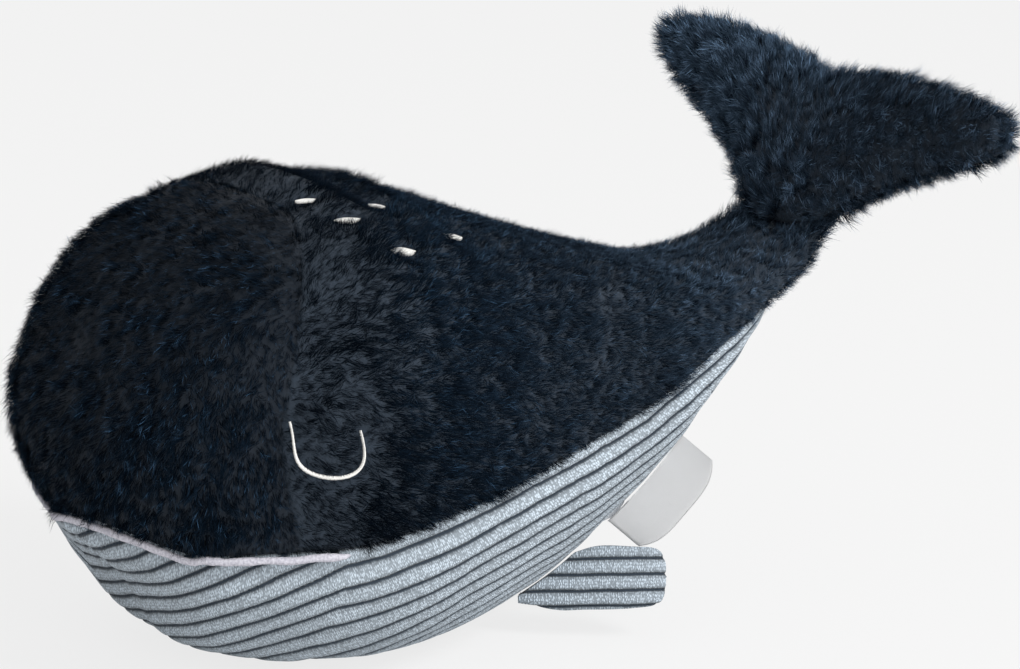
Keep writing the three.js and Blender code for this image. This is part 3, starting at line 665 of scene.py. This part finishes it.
# Round the chin the wales slant, and those of the two cheeks meet three wales past the middle
wale_slant = 0.35
wale_spread = 1.1
chin_shift = 3 * wale_pitch
chin_meeting = -chin_shift * wale_spread / (2 * wale_slant)
corner_u = 2.9
corner = body.point(corner_u, seam_angle(corner_u))


def wale_rise(points):
    """Height above the wale that runs from behind the corner of the mouth: along the seam toward the tail,
    and down round the chin toward the nose."""
    stations = np.linspace(corner_u, 8, 90)
    seam = body.point(stations, seam_angle(stations))
    level = np.interp(points[..., 1], seam[:, 1], seam[:, 2] - wale_slant * seam[:, 0])
    ahead = np.maximum(corner[1] - points[..., 1], 0)
    aside = np.maximum(points[..., 0], 2 * chin_meeting - points[..., 0])
    return points[..., 2] - wale_slant * aside - level + 0.3 * ahead


def reference_wale():
    u = np.concatenate([np.linspace(0.03, 1, 160), np.linspace(1.01, 7.95, 300)])
    angle = np.radians(np.linspace(30, 180, 601))
    above = wale_rise(body.point(u[:, None], angle[None, :])) > 0
    found = above[:, 0] & ~above[:, -1]
    last = above.shape[1] - above[:, ::-1].argmax(1) - 1
    return body.point(u[found], angle[last[found]])


wale_guide = reference_wale()


def wale_place(points):
    """Distance of points across the wales from the reference wale, and the distance along them."""
    folded = np.concatenate([np.abs(points[:, :1]), points[:, 1:]], -1)
    nearest = np.concatenate([np.linalg.norm(part[:, None] - wale_guide, axis=-1).min(1)
                              for part in np.array_split(folded, len(points) // 4000 + 1)])
    flat = 1 - smooth(points[:, 1], corner[1] + 10, corner[1] + 90)
    round_it = np.where(wale_rise(folded) > 0, -nearest, nearest) - chin_shift * (points[:, 0] < 0)
    return flat * -wale_rise(points) / wale_spread + (1 - flat) * round_it, points @ [0.9, 0.95, 0.2]


def wale_relief(across):
    """Height of a wale, from 0 in the groove to 1 on its crown."""
    phase = np.abs(np.mod(across / wale_pitch, 1) - 0.5) * 2
    return np.sqrt(np.clip(1 - phase ** 5, 0, 1))


def cord_sink(u, angle):
    """Depth of the corduroy under the skin, which is greatest at the seam with the fur."""
    seam = seam_angle(u)
    fold = angle - seam
    reach = np.linalg.norm(body.point(u, seam) - (body.point(u, 0 * u) + body.point(u, 0 * u + np.pi)) / 2, axis=-1)
    return (6 * (1 - 0.3 * smooth(u, 6.6, 8)) - 2.6) * (1 - smooth(fold * reach, 0, 16))


def corduroy_material(name, light, dark):
    """Cut pile in wales: pale crowns with short rows of tufts across them, darkened toward their edges by painted
    shade, and narrow grooves dark with painted shade.
    """
    material, wire = new_material(name)
    wale = wire.node("ShaderNodeAttribute", {"attribute_name": "wale"}, output="Vector")
    across, run = wale.part(0), wale.part(1)
    place = wire.object_place
    wander = place.noise(140) - 0.5
    phase = (across + wander * 0.45) / wale_pitch
    groove = wire.math("ABSOLUTE", wire.math("FRACT", phase) - 0.5) * 2.0
    crown = 1.0 - groove.ramp(0.72, 0.93)
    weave = wire.node("ShaderNodeCombineXYZ", None, {"X": run * 1.9, "Y": across})
    knots = wire.node("ShaderNodeTexVoronoi", None, {"Vector": weave, "Scale": 1.0, "Randomness": 0.6})
    tuft = knots.ramp(0.66, 0.16) * 0.8 + place.noise(1400, 3.0) * 0.45
    worn = place.noise(35, 3.0)
    pale = worn.ramp(0.3, 0.7).between(tinted(light, 0.86), light)
    crest = tuft.ramp(0.05, 0.85).between(tinted(light, 0.34), pale)
    # Painted shade: each crown darkens toward the grooves, as a rounded wale would in light.
    crest = crest.scaled(groove.ramp(0.25, 0.85, 1, 0.62))
    # Painted shade fills the grooves.
    colour = crown.between(dark, crest)
    height = crown * 0.62 + tuft * crown * 0.38
    finish_material(wire, {"Base Color": colour, "Roughness": 0.86, "Specular IOR Level": 0.25,
                           "Sheen Weight": 0.1, "Sheen Roughness": 0.4}, height, 0.0007)
    return material


# The second colour is painted shade in the grooves.
corduroy = corduroy_material("corduroy", (0.61, 0.70, 0.785), (0.025, 0.036, 0.05))


def side_shape(row, column):
    """Both sides in one sheet, which meet under the chin and under the tail."""
    hand = np.where(column < 0.5, 1, -1)[:, None] * [1, 0, 0] + [0, 1, 1]
    share = np.minimum((1 - np.abs(2 * column - 1)) * 221 / 220, 1)
    u = 0.06 + 7.92 * row ** 1.25
    low, high = seam_angle(u) + 0.0175, base_edge_angle(u)
    angle = low + (high - low) * share
    normals = body.normal(u, angle) * hand
    outer = body.point(u, angle) * hand
    across, run = wale_place(outer)
    across = across + 0.35 * ripple(outer, 30)
    tuck = 0.4 * np.exp(-(share * 40) ** 2 / 30) + 0.9 * np.exp(-((1 - share) * 40) ** 2 / 12)
    pucker = 0.3 * ripple(outer * [1, 1, 1.6], 16) + 0.15
    deep = cord_sink(u, angle) + 0.15 + 1.15 * (1 - wale_relief(across)) + tuck + pucker - 0.9 * smooth(u, 4.8, 6)
    points = outer - normals * deep[:, None]
    points[:, 2] = np.maximum(points[:, 2], 0.05)
    return points, normals, {"wale": np.stack([across, run, 0 * run], -1)}


side_panel = lay_cloth("chin_side_corduroy", 330, 221, side_shape, mirrored=False, widest=0.005)
dress(side_panel, "torso", "corduroy", corduroy, "chin_side_panel", fill=0.85)


# Underside: a narrower piece of the same corduroy, set in by the base seam and flat where it bears on the
# table. Its wales run straight from front to back.
def station_at(y):
    u = np.linspace(0, 8, 1601)
    return np.interp(y, body.point(u, np.pi)[:, 1], u)


def straight_corduroy(first_y, last_y):
    def shape(row, column):
        u = station_at(first_y) + (station_at(last_y) - station_at(first_y)) * row
        low = base_edge_angle(u) + 0.012
        angle = low + (np.pi - low) * column
        normals = body.normal(u, angle)
        outer = body.point(u, angle)
        across = outer[:, 0] + 0.4 * ripple(outer, 40)
        tuck = 1.0 * np.exp(-(column * 30) ** 2 / 20)
        deep = cord_sink(u, angle) + 0.25 + 1.15 * (1 - wale_relief(across)) + tuck
        points = outer - normals * deep[:, None]
        points[:, 2] = np.maximum(points[:, 2], 0.05)
        return points, normals, {"wale": np.stack([across, outer[:, 1], 0 * across], -1)}
    return shape


flap_edge_y = -10.376
base_shape = straight_corduroy(base_front_y + 0.8, flap_edge_y - 0.8)
base_panel = lay_cloth("base_corduroy", 130, 56, base_shape)
dress(base_panel, "torso", "corduroy", corduroy, "base_panel", fill=0.7)


# Pocket flap: the rear part of the underside, cut from the same corduroy. It is sewn down at its tail end and
# free at its front edge, where it laps over the pocket's mouth.
def thicken(piece, millimetres):
    shell = piece.modifiers.new("cloth_thickness", "SOLIDIFY")
    shell.thickness = millimetres / 1000
    shell.offset = -1
    shell.use_even_offset = False


flap_shape = straight_corduroy(flap_edge_y + 0.1, base_front_y + (base_length - 0.5))
flap = lay_cloth("pocket_flap_corduroy", 130, 56, flap_shape, hem=0)
thicken(flap, 1.3)
dress(flap, "flap", "corduroy", corduroy, "pocket_flap")


# Closure: a strip of hooks sewn inside the flap's front edge, a strip of loops that it presses on, and the
# cotton underlap that carries the loops across the pocket's mouth.
def strip_shape(first_y, last_y, half, depth):
    """A strip across the underside, of a half width and at a depth under the skin."""
    angles = np.radians(np.linspace(100, 180, 321))

    def shape(row, column):
        u = station_at(first_y + (last_y - first_y) * row)
        low = angles[(body.point(u[:, None], angles)[..., 0] < half).argmax(1)]
        angle = low + (np.pi - low) * column
        normals = body.normal(u, angle)
        return body.point(u, angle) - normals * depth, normals, {}
    return shape


def crossing_waves(wire, pitch):
    """Waves along the cloth times waves across it, both at a pitch in millimetres."""
    warp, weft = (wire.math("SINE", wire.object_place.part(axis) * (6283 / pitch)) for axis in (0, 1))
    return warp * weft


def tape_material(name, colour, pitch, height):
    """Woven tape whose face is covered with rows of small hooks or loops."""
    material, wire = new_material(name)
    bed = crossing_waves(wire, pitch).ramp(-0.2, 0.8) * 0.7 + wire.object_place.noise(1800) * 0.3
    shade = bed.between(tinted(colour, 0.45), tinted(colour, 1.5))
    finish_material(wire, {"Base Color": shade, "Roughness": 0.7}, bed, height)
    return material


for kind, body_name, depth, colour, pitch, height in (
        ("hook", "flap", 2.95, (0.024, 0.032, 0.045), 1.5, 0.0006),
        ("loop", "torso", 4.25, (0.028, 0.036, 0.05), 0.9, 0.0003)):
    tape = lay_cloth(f"{kind}_tape_strip", 16, 24, strip_shape(flap_edge_y + 2, flap_edge_y + 14, 20, depth), hem=0)
    thicken(tape, 0.8)
    dress(tape, body_name, "tape", tape_material(f"{kind}s", colour, pitch, height), f"{kind}_tape")


def weave_material(name, colour, pitch):
    """Plain weave of warp and weft threads."""
    material, wire = new_material(name)
    cloth = crossing_waves(wire, pitch) * 0.35 + wire.object_place.noise(60, 3.0) * 0.4 + 0.3
    shade = cloth.ramp(0.1, 0.9).between(tinted(colour, 0.7), colour)
    finish_material(wire, {"Base Color": shade, "Roughness": 0.9}, cloth, 0.00025)
    return material


lining = weave_material("pocket_cotton", (0.66, 0.69, 0.73), 0.8)
underlap_shape = strip_shape(flap_edge_y - 1.8, flap_edge_y + 15.8, 23.8, 5.5)
underlap = lay_cloth("closure_underlap_cloth", 20, 28, underlap_shape, hem=0)
thicken(underlap, 0.7)
dress(underlap, "torso", "lining", lining, "closure_underlap")


# Filling: loose polyester fibre, blown into the sewn body and tail through an opening that is closed last.
# The cloth round it presses its surface smooth.
def stuff(name, node, shrink):
    """Filling of a node's form, its surface made fluffy and a little smaller."""
    bm = bmesh.new()
    bm.from_mesh(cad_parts[node].data)
    bmesh.ops.remove_doubles(bm, verts=bm.verts, dist=1e-5)
    bmesh.ops.triangulate(bm, faces=bm.faces)
    piece = put_in_scene(name, smooth_mesh(name, bm))
    remesh = piece.modifiers.new("remesh", "REMESH")
    remesh.mode = "VOXEL"
    remesh.voxel_size = 0.0022
    bm = bmesh.new()
    bm.from_mesh(worked_out(piece))
    piece.modifiers.clear()
    for _ in range(2):
        bmesh.ops.smooth_vert(bm, verts=bm.verts, factor=0.5, use_axis_x=True, use_axis_y=True, use_axis_z=True)
    bm.normal_update()
    lumps = ripple(np.array([v.co for v in bm.verts]) * 1000, 7)
    moved = [v.co - v.normal * (shrink + 0.25 * lump) / 1000 for v, lump in zip(bm.verts, lumps)]
    for v, place in zip(bm.verts, moved):
        v.co = place
    piece.data = smooth_mesh(name, bm)
    return piece


fluff, wire = new_material("polyester_fibre")
crimp = wire.object_place.noise(420, 6.0)
shade = crimp.ramp(0.3, 0.7).between((0.62, 0.60, 0.56), (0.86, 0.85, 0.81))
finish_material(wire, {"Base Color": shade, "Roughness": 0.95}, crimp, 0.0012)
for end in ("body", "tail"):
    filling = stuff(f"{end}_filling", f"{end}_stuffing", 0.5)
    dress(filling, "torso", "filling", fluff, f"{end}_stuffing", fill=0.85)


# Flukes: two pieces of the back's fur sewn face to face, stuffed and set across the end of the tail. Their
# pile lies outward to the tips.
def fluke_line(shares):
    """Line from tip to tip, from its half on the left."""
    half = outline(shares, 90, 68)
    return [(-x, y) for x, y in half[:0:-1]] + half


def slightly_square(u, c):
    return np.full_like(c, 0.3)


lean = math.radians(72)
tail_top, tail_bottom = body.point(8, 0), body.point(8, np.pi)
tail_end = (tail_top + tail_bottom) / 2
fluke_up = np.array([0, math.cos(lean), math.sin(lean)])
fluke_bulge = [share * 12 for share in (1.42, 1.36, 1.2, 1, .86, .78, .6, 0)]
fluke_form = StuffedForm(
    fluke_line([(0, .485), (.1, .53), (.22, .566), (.44, .588), (.67, .588), (.87, .56), (.96, .51), (1, .44)]),
    fluke_line([(0, -.42), (.15, -.39), (.27, -.23), (.42, -.08), (.67, .085), (.89, .22), (.985, .32), (1, .44)]),
    fluke_bulge[:0:-1] + fluke_bulge,
    [(1, 0, 0), fluke_up, (0, -math.sin(lean), math.cos(lean))], tail_end + fluke_up * 13 + [0, 0.5, 0],
    slightly_square)
tail_along = unit(tail_bottom - tail_top)
tail_out = np.cross((1, 0, 0), tail_along)


def fluke_shape(face):
    def shape(row, column):
        u = 7 + 6.97 * np.sin(np.pi / 2 * row)
        angle = face * (0.02 + (np.pi - 0.04) * column)
        normals = fluke_form.normal(u, angle)
        edge = np.minimum(column, 1 - column)
        pinch = 0.8 * np.exp(-(edge * 24) ** 2 / 10)
        points = fluke_form.point(u, angle) - normals * (4.2 + pinch)[:, None]
        points[:, 0] *= 0.84 + 0.16 * smooth((points - tail_end) @ tail_out, -4, 18)
        outward = unit(fluke_form.point(np.minimum(u + 0.1, fluke_form.stations), angle)
                       - fluke_form.point(u - 0.1, angle))
        away = np.sin(2 * np.pi * column)[:, None] * fluke_up * 0.6
        centre = np.exp(-points[:, :1] ** 2 / 300)
        comb = outward * (1 - centre) + fluke_up * centre + away
        return points, normals, pile_values(comb, tufted(points, 25))
    return shape


fluke_cut = (tail_end / 1000, tuple(tail_out))
fluke_locks = cut_locks("fluke", 40, 6.6, 0.75, 0.08)
for face, where in ((1, "front"), (-1, "rear")):
    ground = lay_cloth(f"fluke_{where}_ground", 60, 34, fluke_shape(face), cut=fluke_cut)
    knit = backing_material(f"fluke_{where}_knit", fur_in_painted_light)
    dress(ground, "torso", "plush", knit, f"fluke_{where}_plush", fill=0.7)
    pile = grow_pile(f"fluke_{where}_pile", ground, fluke_locks, 0.6, 50 + face)
    dress(pile, "torso", "plush", fur)
dress(stuff("fluke_filling", "fluke_stuffing", 0.4), "torso", "filling", fluff, "fluke_stuffing", fill=0.7)


# Flippers: small corduroy paddles, each of an outer and an inner cover sewn edge to edge and turned, with a
# thin batting. Their upper edge is caught in the base seam and they fold against the body from there.
def flipper_form(side):
    ahead = unit(np.array([0.55 * side, 0.83, 0.05]))
    upward = np.array([-0.24 * side, 0.11, 0.96])
    upward = unit(upward - ahead * (upward @ ahead))
    outward = np.cross(ahead, upward) * side
    return StuffedForm(
        outline([(0, .1), (.25, .3), (.5, .46), (.75, .46), (.94, .38), (1, -.02)], 46, 21),
        outline([(0, -.4), (.25, -.5), (.5, -.52), (.75, -.5), (.94, -.42), (1, -.02)], 46, 21),
        [share * 4.5 for share in (.7, .9, 1, .95, .7, 0)], [ahead, upward, outward],
        (26 * side, 3.528, 18), slightly_square)


u_near, angle_near = np.meshgrid(np.linspace(2.5, 5.5, 140), np.radians(np.linspace(110, 250, 180)), indexing="ij")
near_skin = body.point(u_near.ravel(), angle_near.ravel())
near_normal = body.normal(u_near.ravel(), angle_near.ravel())


def seat_on_body(points, gap):
    """Pushes what would lie inside the body out against its cloth."""
    seated = points.copy()
    for i, point in enumerate(points):
        nearest = np.argmin(((near_skin - point) ** 2).sum(1))
        out = (point - near_skin[nearest]) @ near_normal[nearest]
        if out < gap:
            seated[i] = point + near_normal[nearest] * (gap - out)
    return seated


def flipper_shape(side, face):
    form = flipper_form(side)

    def shape(row, column):
        u = 0.02 + 4.96 * row
        angle = face * (0.015 + (np.pi - 0.03) * column)
        normals = form.normal(u, angle)
        points = form.point(u, angle)
        up = (points - form.origin) @ form.axes[1]
        along = (points - form.origin) @ form.axes[0]
        edge = np.minimum(np.minimum(column, 1 - column) * 24, (1 - row) * 30)
        deep = 0.5 + 1.0 * (1 - wale_relief(up - 0.6)) + 0.7 * np.exp(-edge ** 2 / 3) + 0.3 * ripple(points, 12)
        deep = deep + (2.3 * np.exp(-(row * 4) ** 2) if face < 0 else 0)
        points = seat_on_body(points - normals * deep[:, None], 0.4)
        return points, normals, {"wale": np.stack([up - 0.6, along, 0 * up], -1)}
    return shape


for side, hand in hands:
    for face, where in ((1, "outer"), (-1, "inner")):
        name = f"{hand}_flipper_{where}"
        cover = lay_cloth(name + "_corduroy", 64, 44, flipper_shape(side, face), hem=0.4, mirrored=False)
        dress(cover, f"{hand}_flipper", "corduroy", corduroy, name + "_cover", fill=0.5)
    batting = stuff(f"{hand}_flipper_filling", f"{hand}_flipper_batting", 0.3)
    dress(batting, f"{hand}_flipper", "filling", fluff, f"{hand}_flipper_batting", fill=0.5)


# Warming pouch: a flat cotton bag of dry grain that slips into the pocket. It is blown up as cloth, so that
# its sides wrinkle toward the seam round its edge.
pouch_half = (24.2, 44.2, 8.6)
pouch_middle = (0, -45.44, 27.5)
bm = bmesh.new()
bmesh.ops.create_grid(bm, x_segments=36, y_segments=60, size=1.0)
low_half = bmesh.ops.duplicate(bm, geom=bm.verts[:] + bm.edges[:] + bm.faces[:])["geom"]
low_verts = {v for v in low_half if isinstance(v, bmesh.types.BMVert)}
bmesh.ops.reverse_faces(bm, faces=[f for f in low_half if isinstance(f, bmesh.types.BMFace)])
for v in bm.verts:
    a, b = v.co.x, v.co.y
    swell = math.sqrt(max((1 - abs(a) ** 3) * (1 - abs(b) ** 3), 0))
    round_off = 1 - 0.07 * a * a * b * b
    crumple = 1 + 0.05 * math.sin(9 * b + 3 * a) * math.sin(7 * a - 2 * b)
    height = (-1 if v in low_verts else 1) * pouch_half[2] * swell * crumple
    v.co = Vector((pouch_middle[0] + a * pouch_half[0] * round_off, pouch_middle[1] + b * pouch_half[1] * round_off,
                   pouch_middle[2] + height)) / 1000
bmesh.ops.remove_doubles(bm, verts=bm.verts, dist=1e-5)
bmesh.ops.recalc_face_normals(bm, faces=bm.faces)
pouch = put_in_scene("pouch_cover", smooth_mesh("pouch_cover", bm))
start = np.array([v.co for v in pouch.data.vertices])
cloth = pouch.modifiers.new("blown_up", "CLOTH")
cloth.settings.use_pressure = True
cloth.settings.uniform_pressure_force = 4
cloth.settings.effector_weights.gravity = 0
cloth.settings.mass = 0.15
for step in range(1, 21):
    scene.frame_set(step)
blown = worked_out(pouch)
moved = np.array([v.co for v in blown.vertices]) - start
far = np.linalg.norm(moved, axis=1, keepdims=True)
moved = start + moved * np.minimum(1, 0.0012 / np.maximum(far, 1e-9))
pouch.modifiers.clear()
scene.frame_set(1)
for v, place in zip(pouch.data.vertices, moved):
    v.co = place
finer = pouch.modifiers.new("finer", "SUBSURF")
finer.levels = finer.render_levels = 1
pouch_cotton = weave_material("pouch_cotton", (0.78, 0.74, 0.65), 1.0)
dress(pouch, "heat_pouch", "pouch_cloth", pouch_cotton, "pouch_cover_upper", "pouch_cover_lower", fill=0.8)
grain_material, wire = new_material("dry_grain")
cells = wire.node("ShaderNodeTexVoronoi", {"feature": "SMOOTH_F1"}, {
    "Vector": wire.object_place, "Scale": 320.0, "Smoothness": 0.3}, "Distance")
# Painted shade: each grain darkens toward its edge, where it meets the next.
grain_with_painted_shade = cells.ramp(0.1, 0.75).between((0.55, 0.38, 0.16), (0.22, 0.13, 0.05))
finish_material(wire, {"Base Color": grain_with_painted_shade, "Roughness": 0.6}, 1.0 - cells, 0.0015)
dress(stuff("grain_fill", "grain_filling", 2.2), "heat_pouch", "grain", grain_material, "grain_filling", fill=0.8)


# Pocket lining: a cotton sleeve, sewn shut in front and open at the tail end, where it is sewn to the base.
# The pouch slides into it, and it keeps the pouch off the fibre filling.
sleeve_half = (26.2, 11.2)


def sleeve_shape(row, column):
    turn = 2 * np.pi * column
    c, s = np.cos(turn), np.sin(turn)
    reach = (np.abs(c) ** 4 + np.abs(s) ** 4) ** -0.25
    across, up = reach * s * sleeve_half[0], reach * c * sleeve_half[1]
    high = pouch_middle[2] + up
    front = -91.54
    u = np.linspace(4.2, 6.2, 200)
    belly = body.point(u, np.pi)
    open_at = np.interp(high - 9, belly[:, 2], belly[:, 1])
    back = 5 + (open_at - 5) * smooth(high, 25, 32)
    reach_back = front + (back - front) * np.maximum(row - 0.08, 0) / 0.92
    close = np.where(row < 0.08, np.sqrt(np.clip(1 - (1 - row / 0.08) ** 2, 0, 1)), 1.0)
    points = np.stack([close * across, reach_back, pouch_middle[2] + close * up], -1)
    normals = unit(np.stack([s, 0 * s, c], -1))
    return points, normals, {}


sleeve = lay_cloth("pocket_sleeve", 50, 48, sleeve_shape, hem=0, mirrored=False)
dress(sleeve, "torso", "lining", lining, "pocket_lining")


# Closed eyes: a fine U of white satin stitch, each stitch a thread laid across the line. The needle pulls
# the fur in, deepest at the two ends.
def lay_thread(bm, start, end, up, thick, lift):
    """One thread that rises from the cloth at start and goes back into it at end, in millimetres."""
    made = bmesh.ops.create_grid(bm, x_segments=6, y_segments=6, size=0.5)["verts"]
    across = np.cross(unit(end - start), up)
    for v in made:
        t, turn = v.co.x + 0.5, 2 * math.pi * (v.co.y + 0.5)
        rise = math.sin(math.pi * t)
        ring = (across * math.cos(turn) + up * math.sin(turn)) * thick / 2 * (0.35 + 0.65 * rise ** 0.5)
        v.co = Vector((start + (end - start) * t + up * (lift * rise ** 0.7 - 0.3) + ring) / 1000)
    bmesh.ops.remove_doubles(bm, verts=made, dist=1e-6)


def finish_stitches(name, bm):
    bmesh.ops.recalc_face_normals(bm, faces=bm.faces)
    return put_in_scene(name, smooth_mesh(name, bm))


thread_material, wire = new_material("rayon_thread")
strands = wire.object_place.noise(2500, 2.0)
shade = strands.between((0.70, 0.69, 0.66), (0.90, 0.89, 0.86))
finish_material(wire, {"Base Color": shade, "Roughness": 0.45, "Sheen Weight": 0.2}, strands, 0.0001)

for side, hand in hands:
    bm = bmesh.new()
    rng = np.random.default_rng(5 + side)
    t = np.sin(np.linspace(-np.pi / 2, np.pi / 2, 130))
    u, angle = eye_path(t)
    line = body.skin(u, angle * side, 2.2 + 1.2 * t ** 8)
    ups = body.normal(u, angle * side)
    ways = unit(np.gradient(line, axis=0))
    for k in range(len(t)):
        half = 0.62 * (0.6 + 0.4 * math.cos(math.pi / 2 * t[k])) + rng.uniform(-0.05, 0.05)
        aside = unit(np.cross(ways[k], ups[k])) * half + ways[k] * rng.uniform(-0.1, 0.1)
        lay_thread(bm, line[k] - aside, line[k] + aside, ups[k], 0.42, 0.5)
    dress(finish_stitches(f"{hand}_eye_stitching", bm), "torso", "thread", thread_material, f"{hand}_eye")


# Spots: five small ovals of the same white satin stitch, scattered on the left behind the forehead seam. They
# are sewn through to the ground cloth, so they lie half sunk in the pile.
for k, (station, degrees, size) in enumerate(spot_places):
    bm = bmesh.new()
    angle = math.radians(degrees)
    up = body.normal(station, angle)
    centre = body.skin(station, angle, 3.0)
    along = unit(body.point(station + 0.1, angle) - body.point(station - 0.1, angle))
    along = unit(along + 0.2 * np.cross(along, up))
    aside = np.cross(along, up)
    for x in np.linspace(-0.97, 0.97, 26):
        half = 1.8 * size * (1 - x * x) + 0.1
        middle = centre + along * x * 4.7 * size - up * x * x * 0.3
        lay_thread(bm, middle - aside * half, middle + aside * half, up, 0.45, 0.8)
    dress(finish_stitches(f"spot_{k + 1}_stitching", bm), "torso", "thread", thread_material, f"spot_{k + 1}")


# Mouth piping: a soft lilac-grey cotton cord, caught in the seam between the fur and the corduroy from one
# corner of the mouth round the snout to the other.
def piping_shape(row, column):
    share = 1 - 2 * row
    u = corner_u * np.abs(share)
    angle = seam_angle(u) * np.where(share < 0, -1, 1)
    up = body.normal(u, angle)
    sideways = unit(up * up[:, 2:] - [0, 0, 1])
    line = body.skin(u, angle, 1.6 + 0 * u) + sideways * (0.8 + 0.5 * ripple(up * 90, 9))[:, None]
    turn = 2 * np.pi * column
    swell = 1.1 + 0.14 * ripple(line, 5) + 0.05 * np.sin(row * 900 + turn)
    end = np.sqrt(np.clip(1 - np.abs(share) ** 60, 0, 1))
    ring = (up * np.cos(turn)[:, None] + sideways * np.sin(turn)[:, None]) * (swell * end)[:, None]
    return line + ring, unit(ring + 1e-6), {}


piping_material, wire = new_material("piping_cotton")
twill = wire.object_place.noise(1300, 3.0)
shade = twill.ramp(0.25, 0.75).between((0.40, 0.39, 0.45), (0.62, 0.61, 0.67))
finish_material(wire, {"Base Color": shade, "Roughness": 0.85}, twill, 0.0004)
piping = lay_cloth("mouth_piping_cord", 260, 12, piping_shape, hem=0, mirrored=False)
dress(piping, "torso", "piping", piping_material, "mouth_piping")


# Side label: a bare woven ribbon, folded double and caught by its two ends in the base seam behind the left
# flipper. It stands out from the seam and lies over a little.
ribbon_width = 36
ribbon_reach = 17.5


def label_shape(row, column):
    """The folded ribbon: rows run along the seam, columns from one end over the fold to the other."""
    places = [(4.8, 148), (5.42, 144)]
    fore, aft = (body.skin(np.array([u]), np.radians([a]), cord_sink(np.array([u]), np.radians([a])))[0]
                 for u, a in places)
    along = unit(aft - fore)
    outward = np.array([0.59, 0.7, -0.38])
    outward = unit(outward - along * (outward @ along))
    facing = np.cross(along, outward)
    root = fore - outward
    fold = 2 * column - 1
    rounded = 1 - 0.25 * (2 * row - 1) ** 4
    reach = ribbon_reach * (1 - np.abs(fold)) ** 0.92 * rounded
    wave = 0.5 * np.sin(3.0 * row) * reach / ribbon_reach
    lift = np.sign(fold) * 0.32 * np.minimum(np.abs(fold) / 0.06, 1) + wave
    points = root + along * (row * ribbon_width)[:, None] + outward * reach[:, None] + facing * lift[:, None]
    points = seat_on_body(points, 0.3)
    normals = facing * np.sign(fold + 1e-9)[:, None]
    return points, normals, {}


ribbon_material, wire = new_material("woven_ribbon")
place = wire.node("ShaderNodeUVMap", {"uv_map": "OFBake"})
threads = wire.math("SINE", place.part(1) * 900.0) * 0.5 + wire.math("SINE", place.part(0) * 700.0) * 0.5
shade = threads.ramp(-1.0, 1.0).between((0.69, 0.695, 0.705), (0.79, 0.795, 0.80))
finish_material(wire, {"Base Color": shade, "Roughness": 0.5, "Sheen Weight": 0.15}, threads, 0.00012)
label = lay_cloth("side_label_ribbon", 40, 60, label_shape, hem=0, mirrored=False)
thicken(label, 0.25)
dress(label, "torso", "label", ribbon_material, "side_label")
